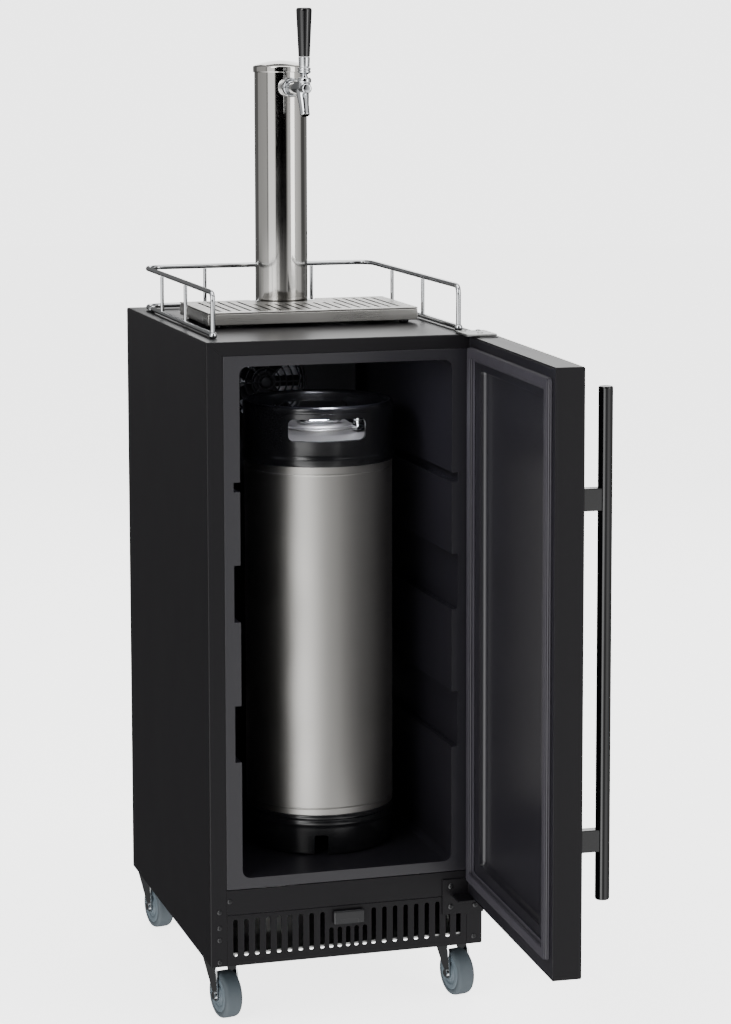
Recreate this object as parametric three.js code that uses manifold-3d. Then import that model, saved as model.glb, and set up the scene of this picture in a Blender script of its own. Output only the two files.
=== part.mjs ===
// A slim single-tap kegerator: a cabinet on casters with its door open, a keg inside, and a beer
// tower, drip tray and guard rail on top. Millimetres, +Z up, +X to the right as the front is faced,
// front towards -Y. The origin is on the floor, under the middle of the cabinet's footprint.
import * as THREE from 'three';
import { mergeVertices } from 'three/addons/utils/BufferGeometryUtils.js';
import Module from 'manifold-3d';

const wasm = await Module();
wasm.setup();

// ---- driving dimensions --------------------------------------------------------------------

const GAP = 0.3;                 // clearance between pieces that touch

const CABINET_WIDTH = 390;
const CABINET_DEPTH = 512;
const CABINET_HEIGHT = 858;
const CABINET_LIFT = 85;         // bottom edge of the side panels above the floor
const SHEET = 1.5;               // steel sheet of the wrapper
const FLANGE_SIDE = 23;          // front flange beside the opening
const FLANGE_TOP = 18.6;         // front flange above the opening

const HALF = CABINET_WIDTH / 2;
const FRONT = -CABINET_DEPTH / 2;
const BACK = CABINET_DEPTH / 2;
const BOTTOM = CABINET_LIFT;
const TOP = CABINET_LIFT + CABINET_HEIGHT;

const BASE_Z = BOTTOM + 15;      // underside of the base pan, recessed behind the skirt
const BASE_THICK = 3;

const GRILLE_HEIGHT = 71.6;
const SILL_TOP = BOTTOM + 106.5;
const SLOT_PITCH = 15.4;
const SLOT_WIDTH = 6.4;
const SHORT_SLOT_PITCH = 12;

const CAVITY_HALF = 149.5;       // inside the food-safe liner
const CAVITY_FLOOR = BOTTOM + 122;
const CAVITY_CEILING = BOTTOM + 824;
const CAVITY_BACK = 212;
const CAVITY_CORNER = 13.5;
const LINER_WALL = 2.5;
const LINER_SIDE = 11.5;
const LIP = 2.5;
const HUMP_FRONT = 78;           // step over the compressor compartment
const HUMP_TOP = CAVITY_FLOOR + 190;
const SHELF_DEPTH = 9;           // how far the shelf grooves go into the side walls
const LINE_HOLE = 30;            // radius of the beer line's way up into the tower
const SHELF_BANDS = [[284, 362], [477, 555], [655, 668]];

const DOOR_BOTTOM = BOTTOM + 75;
const DOOR_TOP = BOTTOM + 857;
const DOOR_THICK = 38.4;
const DOOR_GAP = 8;              // room for the gasket between door and flange
const DOOR_OPEN = 87.5;            // degrees from closed
const PIVOT_INSET = 12;          // hinge pin from the door's side and from its inner face
const PIVOT_X = HALF - PIVOT_INSET;
const PIVOT_Y = FRONT - DOOR_GAP - PIVOT_INSET;
const GASKET_INSET = 14;
const GASKET_INSET_BOTTOM = 23;
const GASKET_WIDTH = 18;
const DISH_INSET = 56;
const DISH_DEPTH = 9;
const HANDLE_RADIUS = 9.3;
const HANDLE_INSET = 35;
const HANDLE_STANDOFF = 38;      // bar centre line from the door's face
const HANDLE_LOW = BOTTOM + 167;
const HANDLE_HIGH = BOTTOM + 828;
const POST_HEIGHT = 29;
const POST_LEVELS = [BOTTOM + 230.5, BOTTOM + 670.5];

const KEG_X = 8;
const KEG_Y = FRONT + 175;
const KEG_FLOOR = CAVITY_FLOOR + GAP;
const KEG_RADIUS = 104.5;
const RUBBER_RADIUS = 107;
const KEG_HEIGHT = 633;
const BASE_RUBBER = 58;
const TOP_RUBBER = 84;
const HAND_HOLE_TURN = -8;       // degrees about the keg's axis
const NOTCH_TURN = -14;
const POST_TURN = -45;

const TOWER_Y = 86.5;
const TOWER_RADIUS = 38;
const TOWER_WALL = 1.5;
const TOWER_TOP = TOP + 368;
const CAP_HEIGHT = 16;
const TAP_Z = TOWER_TOP - 37;
const LEVER_Y = TOWER_Y - 131;
const LEVER_PIVOT_Z = TAP_Z + 16;

const TRAY_HALF = 152.5;
const TRAY_FRONT = FRONT + 165;
const TRAY_BACK = FRONT + 340;
const TRAY_Z = TOP + 4.5;
const TRAY_TOP = TOP + 22.7;
const GRATE_THICK = 2;
const NOTCH_RADIUS = 50;

const RAIL_X = 174;
const RAIL_FRONT = FRONT + 46.5;
const RAIL_BACK = FRONT + 478;
const RAIL_HIGH = TOP + 62;
const RAIL_LOW = TOP + 5;
const RAIL_ROD = 3.5;
const RAIL_POST = 2.6;
const RAIL_CORNER = 28;
const RAIL_SIDE_POSTS = [FRONT + 210, FRONT + 360];
const RAIL_REAR_POST = 82.5;

const WHEEL_RADIUS = 32.5;
const WHEEL_WIDTH = 25;
const CASTER_TRAIL = 25;
const CASTER_TURN = 10;          // how far each fork is swivelled at rest, degrees
const CASTER_X = 168;
const CASTER_FRONT = FRONT + 68.5;
const CASTER_BACK = FRONT + 496;
const CROWN_Z = 86;

// ---- materials -----------------------------------------------------------------------------

function material(color, roughness, metalness) {
  return new THREE.MeshStandardMaterial({ color, roughness, metalness });
}

const blackPaint = material(0x302e31, 0.45, 0.2);
const innerPlastic = material(0x1b1a20, 0.3, 0);
const darkPlastic = material(0x17161a, 0.35, 0);
const gasketRubber = material(0x3a3740, 0.6, 0);
const stainless = material(0xb9b6ae, 0.28, 1);
const chrome = material(0xd5d7da, 0.1, 1);
const moulding = material(0x101014, 0.25, 0);
const glossBlack = material(0x0b0b0c, 0.12, 0);
const greyTyre = material(0x6f7a80, 0.7, 0);
const zinc = material(0xa9a9a6, 0.4, 1);
const copper = material(0xa9663f, 0.35, 1);
const lampGlass = material(0xf2f2ff, 0.3, 0);

// ---- solids --------------------------------------------------------------------------------

function signedVolume(position, index) {
  const [a, b, c] = [new THREE.Vector3(), new THREE.Vector3(), new THREE.Vector3()];
  let sum = 0;
  for (let i = 0; i < index.count; i += 3) {
    a.fromBufferAttribute(position, index.getX(i));
    b.fromBufferAttribute(position, index.getX(i + 1));
    c.fromBufferAttribute(position, index.getX(i + 2));
    sum += a.dot(b.cross(c));
  }
  return sum / 6;
}

// A closed geometry as a solid for joining and cutting, its faces turned outwards.
function solid(geometry) {
  const bare = geometry.clone();
  bare.deleteAttribute('normal');
  bare.deleteAttribute('uv');
  const merged = mergeVertices(bare, 1e-4);
  const triVerts = Uint32Array.from(merged.index.array);
  if (signedVolume(merged.attributes.position, merged.index) < 0) {
    triVerts.reverse();
  }
  const vertProperties = Float32Array.from(merged.attributes.position.array);
  return new wasm.Manifold(new wasm.Mesh({ numProp: 3, vertProperties, triVerts }));
}

function geometryOf(manifold) {
  const mesh = manifold.getMesh();
  const geometry = new THREE.BufferGeometry();
  geometry.setAttribute('position', new THREE.BufferAttribute(mesh.vertProperties, 3));
  geometry.setIndex(new THREE.BufferAttribute(mesh.triVerts, 1));
  return geometry;
}

function join(...geometries) {
  return geometryOf(geometries.map(solid).reduce((all, next) => all.add(next)));
}

function cut(base, ...tools) {
  return geometryOf(tools.map(solid).reduce((left, tool) => left.subtract(tool), solid(base)));
}

function box(x0, x1, y0, y1, z0, z1) {
  const geometry = new THREE.BoxGeometry(x1 - x0, y1 - y0, z1 - z0);
  return geometry.translate((x0 + x1) / 2, (y0 + y1) / 2, (z0 + z1) / 2);
}

// A cylinder about +Z from z0 to z1, centred on (x, y).
function post(x, y, z0, z1, radius, sides = 20) {
  const geometry = new THREE.CylinderGeometry(radius, radius, z1 - z0, sides);
  return geometry.rotateX(Math.PI / 2).translate(x, y, (z0 + z1) / 2);
}

// A turned shape about +Z from [radius, height] pairs; it starts and ends on the axis.
function turned(profile, sides = 24) {
  const points = profile.map(([r, z]) => new THREE.Vector2(r, z));
  return new THREE.LatheGeometry(points, sides).rotateX(Math.PI / 2);
}

// A turned ring: its profile closes on itself.
function turnedRing(profile, sides = 24) {
  return turned([...profile, profile[0]], sides);
}

// Turns a shape made about +Z so that its height runs towards -Y.
function towardsFront(geometry) {
  return geometry.rotateX(Math.PI / 2);
}

// A panel outline in X and Z with rounded corners, extruded from y0 to y1.
function panel(x0, x1, z0, z1, y0, y1, corner, steps = 3) {
  const shape = new THREE.Shape();
  shape.absarc(x1 - corner, z1 - corner, corner, 0, Math.PI / 2);
  shape.absarc(x0 + corner, z1 - corner, corner, Math.PI / 2, Math.PI);
  shape.absarc(x0 + corner, z0 + corner, corner, Math.PI, 1.5 * Math.PI);
  shape.absarc(x1 - corner, z0 + corner, corner, 1.5 * Math.PI, 2 * Math.PI);
  const settings = { depth: y1 - y0, bevelEnabled: false, curveSegments: steps };
  return new THREE.ExtrudeGeometry(shape, settings).rotateX(Math.PI / 2).translate(0, y1, 0);
}

// Corner points of a bent rod: each bend is an arc of the given radius between two straights.
function bentRod(corners, bend, radius, bendSteps = 3) {
  const path = new THREE.CurvePath();
  let from = corners[0];
  for (let i = 1; i < corners.length - 1; i += 1) {
    const back = corners[i - 1].clone().sub(corners[i]).normalize();
    const ahead = corners[i + 1].clone().sub(corners[i]).normalize();
    const start = corners[i].clone().addScaledVector(back, bend[i - 1]);
    const end = corners[i].clone().addScaledVector(ahead, bend[i - 1]);
    path.add(new THREE.LineCurve3(from, start));
    path.add(new THREE.QuadraticBezierCurve3(start, corners[i].clone(), end));
    from = end;
  }
  path.add(new THREE.LineCurve3(from, corners[corners.length - 1]));
  const section = new THREE.Shape();
  section.absarc(0, 0, radius, 0, 2 * Math.PI);
  const steps = sweepSteps(path, bendSteps);
  return new THREE.ExtrudeGeometry(section, { steps: steps.length - 1, curveSegments: 4,
    extrudePath: sampled(steps) });
}

// Points along a rod: two for a straight, a few for each bend.
function sweepSteps(path, bendSteps) {
  const points = [path.curves[0].getPoint(0)];
  for (const curve of path.curves) {
    const count = curve.isLineCurve3 ? 1 : bendSteps;
    for (let i = 1; i <= count; i += 1) {
      points.push(curve.getPoint(i / count));
    }
  }
  return points;
}

// A polyline as a curve whose equal parameter steps fall on its own points.
function sampled(points) {
  const line = new THREE.Curve();
  const last = points.length - 1;
  line.getPoint = (t, target = new THREE.Vector3()) => {
    const at = Math.min(Math.floor(t * last + 1e-9), last - 1);
    return target.lerpVectors(points[at], points[at + 1], t * last - at);
  };
  line.getPointAt = line.getPoint;
  line.getTangentAt = (t, target = new THREE.Vector3()) => {
    const at = Math.round(t * last);
    const before = points[Math.max(at - 1, 0)];
    const after = points[Math.min(at + 1, last)];
    return target.subVectors(after, before).normalize();
  };
  line.getTangent = line.getTangentAt;
  return line;
}

function vec(x, y, z) {
  return new THREE.Vector3(x, y, z);
}

const group = new THREE.Group();

function place(name, geometry, look, parent = group) {
  const mesh = new THREE.Mesh(geometry, look);
  mesh.name = name;
  parent.add(mesh);
  return mesh;
}

// ---- cabinet -------------------------------------------------------------------------------

function cabinetShell() {
  const outside = box(-HALF, HALF, FRONT, BACK, BOTTOM, TOP);
  const inside = box(-HALF + SHEET, HALF - SHEET, FRONT + SHEET, BACK + 1, BOTTOM - 1, TOP - SHEET);
  const mouth = box(-HALF + FLANGE_SIDE, HALF - FLANGE_SIDE, FRONT - 1, FRONT + SHEET + 1,
    BOTTOM - 1, TOP - FLANGE_TOP);
  const lineHole = post(0, TOWER_Y, TOP - 5, TOP + 5, LINE_HOLE);
  return cut(outside, inside, mouth, lineHole);
}

function backPanel() {
  const edge = HALF - SHEET - GAP;
  const sheet = box(-edge, edge, BACK - SHEET, BACK, BASE_Z + BASE_THICK + GAP, TOP - SHEET - GAP);
  const vents = [];
  for (let row = 0; row < 6; row += 1) {
    const z = BASE_Z + 60 + row * 22;
    vents.push(box(-120, 120, BACK - SHEET - 1, BACK + 1, z, z + 7));
  }
  return cut(sheet, ...vents);
}

function basePan() {
  const edge = HALF - SHEET - GAP;
  const pan = box(-edge, edge, FRONT + 2.5, BACK - GAP, BASE_Z, BASE_Z + BASE_THICK);
  const holes = [];
  for (const x of [-CASTER_X, CASTER_X]) {
    for (const y of [CASTER_FRONT, CASTER_BACK]) {
      holes.push(post(x, y, BASE_Z - 1, BASE_Z + BASE_THICK + 1, 5.4, 12));
    }
  }
  return cut(pan, ...holes);
}

function innerLiner() {
  const outerHalf = CAVITY_HALF + LINER_SIDE;
  const lipHalf = HALF - FLANGE_SIDE - GAP;
  const body = box(-outerHalf, outerHalf, FRONT + 1, CAVITY_BACK + LINER_WALL,
    CAVITY_FLOOR - LINER_WALL, CAVITY_CEILING + LINER_WALL);
  const lip = box(-lipHalf, lipHalf, FRONT, FRONT + LIP, SILL_TOP + 2 * GAP,
    TOP - FLANGE_TOP - GAP);
  const cavity = panel(-CAVITY_HALF, CAVITY_HALF, CAVITY_FLOOR, CAVITY_CEILING, FRONT - 1,
    CAVITY_BACK, CAVITY_CORNER);
  const hump = box(-CAVITY_HALF - 1, CAVITY_HALF + 1, HUMP_FRONT, CAVITY_BACK + 1,
    CAVITY_FLOOR - 1, HUMP_TOP);
  const compartment = box(-outerHalf - 1, outerHalf + 1, HUMP_FRONT + LINER_WALL,
    CAVITY_BACK + LINER_WALL + 1, CAVITY_FLOOR - LINER_WALL - 1, HUMP_TOP - LINER_WALL);
  const room = cut(cavity, hump);
  const grooves = SHELF_BANDS.map(([low, high]) => {
    const back = BOTTOM + high < HUMP_TOP + 60 ? HUMP_FRONT - 10 : CAVITY_BACK - 12;
    return box(-CAVITY_HALF - SHELF_DEPTH, CAVITY_HALF + SHELF_DEPTH, FRONT - 1, back,
      BOTTOM + low, BOTTOM + high);
  });
  const lineHole = post(0, TOWER_Y, CAVITY_CEILING - 5, CAVITY_CEILING + 10, LINE_HOLE);
  return cut(join(body, lip), room, ...grooves, compartment, lineHole);
}

function frontSill() {
  const edge = HALF - FLANGE_SIDE - GAP;
  return box(-edge, edge, FRONT, FRONT + 2, BOTTOM + GRILLE_HEIGHT + GAP, SILL_TOP);
}

function slot(x, low, high) {
  return box(x - SLOT_WIDTH / 2, x + SLOT_WIDTH / 2, FRONT - 1, FRONT + 3, low, high);
}

function kickGrille() {
  const edge = HALF - FLANGE_SIDE - GAP;
  const plate = box(-edge, edge, FRONT, FRONT + 2, BOTTOM + GAP, BOTTOM + GRILLE_HEIGHT);
  const slots = [];
  for (const side of [-1, 1]) {
    for (let i = 0; i < 9; i += 1) {
      slots.push(slot(side * (36.8 + i * SLOT_PITCH), BOTTOM + 13, BOTTOM + 65));
    }
  }
  for (let i = -2; i <= 2; i += 1) {
    slots.push(slot(i * SHORT_SLOT_PITCH, BOTTOM + 13, BOTTOM + 42));
  }
  return cut(plate, ...slots);
}

function grilleBlock() {
  return panel(-22, 22, BOTTOM + 47, BOTTOM + 66, FRONT - 7, FRONT - GAP, 3);
}

function topHinge() {
  const plate = box(160, 202, PIVOT_Y - 16, FRONT + 18, TOP + GAP, TOP + 3.3);
  return join(plate, post(PIVOT_X, PIVOT_Y, TOP - 16, TOP + 4.5, 4, 16));
}

function bottomHinge() {
  const back = FRONT - GAP;
  const leg = box(136, 196, back - 2.2, back, BOTTOM + 46, BOTTOM + 96);
  const shelf = box(150, 201, PIVOT_Y - 13, back - 1, BOTTOM + 70.5, BOTTOM + 73.5);
  const gusset = box(193.5, 196, PIVOT_Y - 2, back - 1, BOTTOM + 52, BOTTOM + 72);
  const ramp = box(-40, 40, -40, 40, 0, 60).rotateX(-Math.PI / 4)
    .translate(195, PIVOT_Y + 2, BOTTOM + 10);
  const pin = post(PIVOT_X, PIVOT_Y, BOTTOM + 72, BOTTOM + 90, 4, 16);
  return join(leg, shelf, cut(gusset, ramp), pin);
}

place('cabinet_shell', cabinetShell(), blackPaint);
place('back_panel', backPanel(), zinc);
place('base_pan', basePan(), zinc);
place('inner_liner', innerLiner(), innerPlastic);
place('front_sill', frontSill(), blackPaint);
place('kick_grille', kickGrille(), blackPaint);
place('grille_block', grilleBlock(), darkPlastic);
place('top_hinge', topHinge(), zinc);
place('bottom_hinge', bottomHinge(), blackPaint);

// ---- cooling unit and lamp -----------------------------------------------------------------

const FAN_Z = BOTTOM + 747;
const COVER_FRONT = 182;
const FAN_HOLE = 58;

function fanHole(y0, y1, radius) {
  return towardsFront(post(0, 0, -y1, -y0, radius, 28)).translate(0, 0, FAN_Z);
}

function evaporatorCover() {
  const outer = box(-140, 140, COVER_FRONT, CAVITY_BACK - GAP, FAN_Z - 74, FAN_Z + 73);
  const inner = box(-137.5, 137.5, COVER_FRONT + 2.5, CAVITY_BACK + 1, FAN_Z - 71.5, FAN_Z + 70.5);
  return cut(outer, inner, fanHole(COVER_FRONT - 1, COVER_FRONT + 4, FAN_HOLE));
}

function fanGuard() {
  const rings = [24, 43, 62].map((radius) => new THREE.TorusGeometry(radius, 1.5, 4, 20)
    .rotateX(Math.PI / 2).translate(0, COVER_FRONT - 2, FAN_Z));
  const bars = [45, 135].map((turn) => box(-63, 63, -1.2, 1.2, -1.2, 1.2)
    .rotateY(turn * Math.PI / 180).translate(0, COVER_FRONT - 2, FAN_Z));
  return join(...rings, ...bars);
}

function fanRotor() {
  const pieces = [towardsFront(post(0, 0, -10, 0, 17, 16))];
  for (let i = 0; i < 7; i += 1) {
    const blade = box(15, 53, -1, 1, -9, 9).rotateX(0.5).rotateY(i * 2 * Math.PI / 7);
    pieces.push(blade.translate(0, 5, 0));
  }
  return join(...pieces).translate(0, COVER_FRONT + 4.5, FAN_Z);
}

function evaporator() {
  const block = box(-130, 130, CAVITY_BACK - 12, CAVITY_BACK - 1, FAN_Z - 62, FAN_Z + 62);
  const grooves = [];
  for (let i = -5; i <= 5; i += 1) {
    grooves.push(box(-131, 131, CAVITY_BACK - 13, CAVITY_BACK - 7, FAN_Z + i * 11 - 3,
      FAN_Z + i * 11 + 3));
  }
  return cut(block, ...grooves);
}

function compressor() {
  const base = BASE_Z + BASE_THICK + GAP;
  const can = [[0, base], [66, base], [66, base + 6], [52, base + 12], [58, base + 30],
    [58, base + 92], [46, base + 116], [18, base + 126], [0, base + 127]];
  return turned(can, 18).translate(-70, 165, 0);
}

function condenser() {
  const low = BASE_Z + BASE_THICK + GAP;
  const block = box(30, 165, 120, 190, low, low + 170);
  const grooves = [];
  for (let i = 0; i < 9; i += 1) {
    grooves.push(box(20, 175, 110, 182, low + 12 + i * 17, low + 18 + i * 17));
  }
  return cut(block, ...grooves);
}

function lampLens() {
  return box(-16, 16, FRONT + 52, FRONT + 74, CAVITY_CEILING - 6, CAVITY_CEILING - GAP);
}

place('evaporator_cover', evaporatorCover(), darkPlastic);
place('fan_guard', fanGuard(), darkPlastic);
place('fan_rotor', fanRotor(), zinc);
place('evaporator', evaporator(), zinc);
place('compressor', compressor(), blackPaint);
place('condenser', condenser(), copper);
place('lamp_lens', lampLens(), lampGlass);

// ---- tower and tap -------------------------------------------------------------------------

// A turned piece about the tap's line, its heights read as distance in front of the tower's axis.
function onTapLine(geometry) {
  return towardsFront(geometry).translate(0, TOWER_Y, TAP_Z);
}

function towerBore(radius) {
  return post(0, TOWER_Y, TOP - 20, TOWER_TOP + 20, radius, 28);
}

function towerFlange() {
  const rim = TOWER_RADIUS + GAP;
  return turnedRing([[rim, TOP + GAP], [61, TOP + GAP], [61, TOP + 2], [58, TOP + 3.2],
    [rim, TOP + 3.2]], 28).translate(0, TOWER_Y, 0);
}

function towerColumn() {
  const inside = TOWER_RADIUS - TOWER_WALL;
  const top = TOWER_TOP - 9.6;
  const tube = turnedRing([[inside, TOP + GAP], [TOWER_RADIUS, TOP + GAP], [TOWER_RADIUS, top],
    [inside, top]], 28).translate(0, TOWER_Y, 0);
  return cut(tube, onTapLine(post(0, 0, 20, 60, 8.6, 16)));
}

function towerCap() {
  const inner = TOWER_RADIUS + GAP;
  const outer = inner + 1.4;
  const low = TOWER_TOP - CAP_HEIGHT;
  return turned([[0, TOWER_TOP - 0.8], [16, TOWER_TOP - 2.3], [30, TOWER_TOP - 5.3],
    [inner, TOWER_TOP - 9], [inner, low], [outer, low], [outer, TOWER_TOP - 7.5],
    [30, TOWER_TOP - 3.5], [16, TOWER_TOP - 0.5], [0, TOWER_TOP + 1]], 28).translate(0, TOWER_Y, 0);
}

function shankCollar() {
  const ring = onTapLine(turnedRing([[8.3, 30], [13.5, 30], [13.5, 43], [12, 44.5], [8.3, 44.5]], 20));
  return cut(ring, towerBore(TOWER_RADIUS + GAP));
}

function shank() {
  return onTapLine(turned([[0, -26], [4, -26], [4, -12], [8, -12], [8, 45], [10.2, 45.5], [10.2, 55.4],
    [0, 55.4]], 20));
}

function shankNut() {
  const hexagon = onTapLine(post(0, 0, 26.5, 33, 14, 6));
  return cut(hexagon, onTapLine(post(0, 0, 20, 40, 8.5, 20)));
}

function couplingNut() {
  return onTapLine(turnedRing([[10.5, 45], [14, 45], [14, 62], [12.8, 66], [10.5, 66]], 20));
}

function faucetBody() {
  const barrel = onTapLine(turned([[0, 55.7], [10.2, 55.7], [10.2, 68], [8, 70], [8, 76], [10, 84],
    [10, 107], [7.4, 119], [7.4, 143], [5.5, 146], [0, 146.5]], 16));
  const boss = post(0, LEVER_Y, TAP_Z, TAP_Z + 7.7, 8.5, 16);
  const spoutTurn = new THREE.Vector2(15, 38).angle() - Math.PI / 2;
  const spout = turned([[0, -38.5], [6.6, -38.5], [7, -30], [9.6, 0], [0, 4]], 16).rotateX(spoutTurn)
    .translate(0, LEVER_Y + 11, TAP_Z - 2);
  const mouth = turned([[0, -50], [4.8, -50], [4.8, -20], [0, -20]], 12).rotateX(spoutTurn)
    .translate(0, LEVER_Y + 11, TAP_Z - 2);
  return cut(join(barrel, boss, spout), mouth);
}

function faucetBonnet() {
  return turnedRing([[6.6, TAP_Z + 8], [9.5, TAP_Z + 8], [9.8, TAP_Z + 13], [8.6, TAP_Z + 15.4],
    [6.6, TAP_Z + 15.4]], 20).translate(0, LEVER_Y, 0);
}

function leverPiece(profile, sides = 18) {
  return turned(profile.map(([r, z]) => [r, z + LEVER_PIVOT_Z]), sides).translate(0, LEVER_Y, 0);
}

place('tower_flange', towerFlange(), stainless);
place('tower_column', towerColumn(), stainless);
place('tower_cap', towerCap(), stainless);
place('shank_collar', shankCollar(), chrome);
place('tower_shank', shank(), chrome);
place('shank_nut', shankNut(), zinc);
place('coupling_nut', couplingNut(), chrome);
place('faucet_body', faucetBody(), chrome);
place('faucet_bonnet', faucetBonnet(), chrome);
place('tap_lever', leverPiece([[0, -5.5], [3.8, -4.2], [5.5, 0], [4, 3], [9, 7], [9.3, 12.5],
  [8, 13.5], [0, 13.5]]), chrome);
place('handle_ferrule', leverPiece([[0, 13.8], [7.4, 13.8], [8.2, 28], [0, 28]]), chrome);
place('tap_handle', leverPiece([[0, 28.3], [8, 28.3], [11.2, 93], [10.4, 96], [0, 97]]), glossBlack);

// ---- drip tray -----------------------------------------------------------------------------

// The cut-out that lets the tray close round the tower's foot.
function towerNotch(radius, z0, z1) {
  const round = post(0, TOWER_Y, z0, z1, radius, 24);
  return join(round, box(-radius, radius, TOWER_Y, TOWER_Y + 80, z0, z1));
}

function dripTray() {
  const lip = TRAY_TOP - GRATE_THICK - GAP;
  const outer = box(-TRAY_HALF, TRAY_HALF, TRAY_FRONT, TRAY_BACK, TRAY_Z, lip);
  const pocket = box(-TRAY_HALF + 2, TRAY_HALF - 2, TRAY_FRONT + 2, TRAY_BACK - 2, TRAY_Z + 2, lip + 5);
  const basin = cut(pocket, towerNotch(NOTCH_RADIUS + 2, TRAY_Z, lip + 10));
  const pan = cut(outer, towerNotch(NOTCH_RADIUS, TRAY_Z - 5, lip + 10), basin);
  const feet = [];
  for (const x of [-TRAY_HALF + 16, TRAY_HALF - 16]) {
    for (const y of [TRAY_FRONT + 16, TRAY_BACK - 16]) {
      feet.push(post(x, y, TOP + GAP, TRAY_Z + 1, 7, 12));
    }
  }
  return join(pan, ...feet);
}

function dripGrate() {
  const low = TRAY_TOP - GRATE_THICK;
  const plate = box(-TRAY_HALF, TRAY_HALF, TRAY_FRONT, TRAY_BACK, low, TRAY_TOP);
  const openings = [];
  for (let i = -9; i <= 9; i += 1) {
    const x = i * 14.5;
    const back = Math.abs(x) < NOTCH_RADIUS + 10 ? 18 : TRAY_BACK - 18;
    openings.push(box(x - 2.2, x + 2.2, TRAY_FRONT + 16, back, low - 1, TRAY_TOP + 1));
  }
  return cut(plate, towerNotch(NOTCH_RADIUS, low - 5, TRAY_TOP + 5), ...openings);
}

place('drip_tray', dripTray(), stainless);
place('drip_grate', dripGrate(), stainless);

// ---- guard rail ----------------------------------------------------------------------------

function railTop() {
  const foot = RAIL_LOW + RAIL_ROD + GAP;
  const corners = [vec(-RAIL_X, RAIL_FRONT, foot), vec(-RAIL_X, RAIL_FRONT, RAIL_HIGH),
    vec(-RAIL_X, RAIL_BACK, RAIL_HIGH), vec(RAIL_X, RAIL_BACK, RAIL_HIGH),
    vec(RAIL_X, RAIL_FRONT, RAIL_HIGH), vec(RAIL_X, RAIL_FRONT, foot)];
  return bentRod(corners, [11, RAIL_CORNER, RAIL_CORNER, 11], RAIL_ROD);
}

function railBase() {
  const corners = [vec(-RAIL_X, RAIL_FRONT - 4, RAIL_LOW), vec(-RAIL_X, RAIL_BACK, RAIL_LOW),
    vec(RAIL_X, RAIL_BACK, RAIL_LOW), vec(RAIL_X, RAIL_FRONT - 4, RAIL_LOW)];
  const pieces = [bentRod(corners, [RAIL_CORNER, RAIL_CORNER], RAIL_ROD)];
  const tip = RAIL_HIGH - RAIL_ROD - GAP;
  for (const x of [-RAIL_X, RAIL_X]) {
    for (const y of RAIL_SIDE_POSTS) {
      pieces.push(post(x, y, RAIL_LOW, tip, RAIL_POST, 8));
    }
    pieces.push(post(x, RAIL_FRONT, TOP + GAP, RAIL_LOW, 4.4, 8));
    pieces.push(post(x, RAIL_SIDE_POSTS[1] + 70, TOP + GAP, RAIL_LOW, 4.4, 8));
  }
  for (const x of [-RAIL_REAR_POST, RAIL_REAR_POST]) {
    pieces.push(post(x, RAIL_BACK, RAIL_LOW, tip, RAIL_POST, 8));
  }
  return join(...pieces);
}

place('guard_rail_top', railTop(), chrome);
place('guard_rail_base', railBase(), chrome);

// ---- keg -----------------------------------------------------------------------------------

const keg = new THREE.Group();
keg.position.set(KEG_X, KEG_Y, KEG_FLOOR);
group.add(keg);

const SHOULDER = KEG_HEIGHT - TOP_RUBBER;   // where the top rubber meets the steel
const CROWN = KEG_HEIGHT - 41;              // rim of the keg's mouth

function kegShell() {
  const wall = turned([[0, 16], [60, 19], [92, 28], [KEG_RADIUS, 44], [KEG_RADIUS, SHOULDER + 14],
    [98, CROWN - 14], [72, CROWN - 3], [48, CROWN], [45, CROWN], [45, CROWN - 2],
    [72, CROWN - 5], [96.5, CROWN - 16], [KEG_RADIUS - 1.5, SHOULDER + 13.5],
    [KEG_RADIUS - 1.5, 44.5], [91, 30], [60, 20.6], [0, 17.6]], 28);
  const bosses = [0, 180].map((turn) => post(65, 0, CROWN - 6, CROWN, 10.5, 14)
    .rotateZ((POST_TURN + turn) * Math.PI / 180));
  return join(wall, ...bosses);
}

function baseRubber() {
  const inner = KEG_RADIUS + GAP;
  const ring = turnedRing([[90, 0], [101, 0], [105.5, 40], [RUBBER_RADIUS, 48],
    [RUBBER_RADIUS, BASE_RUBBER - 3], [106, BASE_RUBBER], [inner, BASE_RUBBER], [inner, 43],
    [96, 26], [90, 18]], 28);
  const notch = box(-9.5, 9.5, -120, -80, -1, 29).rotateZ(NOTCH_TURN * Math.PI / 180);
  return cut(ring, notch);
}

function topRubber() {
  const inner = KEG_RADIUS + GAP;
  const ring = turnedRing([[inner, SHOULDER], [RUBBER_RADIUS + 0.5, SHOULDER + 3],
    [RUBBER_RADIUS + 0.5, SHOULDER + 12], [RUBBER_RADIUS - 1, SHOULDER + 17],
    [RUBBER_RADIUS - 1, KEG_HEIGHT - 6], [RUBBER_RADIUS - 3, KEG_HEIGHT - 1],
    [RUBBER_RADIUS - 6, KEG_HEIGHT], [98.5, KEG_HEIGHT - 3], [97.5, KEG_HEIGHT - 12],
    [99, CROWN - 13], [inner, SHOULDER + 14.5]], 28);
  const openings = [0, 180].map((turn) => panel(-54, 54, KEG_HEIGHT - 48, KEG_HEIGHT - 17, -130, -60,
    9, 2).rotateZ((HAND_HOLE_TURN + turn) * Math.PI / 180));
  return cut(ring, ...openings);
}

function kegLid() {
  return turned([[0, CROWN + GAP], [52, CROWN + GAP], [52, CROWN + 3], [44, CROWN + 6],
    [40, CROWN + 9], [0, CROWN + 9]], 28);
}

const BAIL_Z = CROWN + 13;
const BAIL_HALF = 27;

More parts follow.
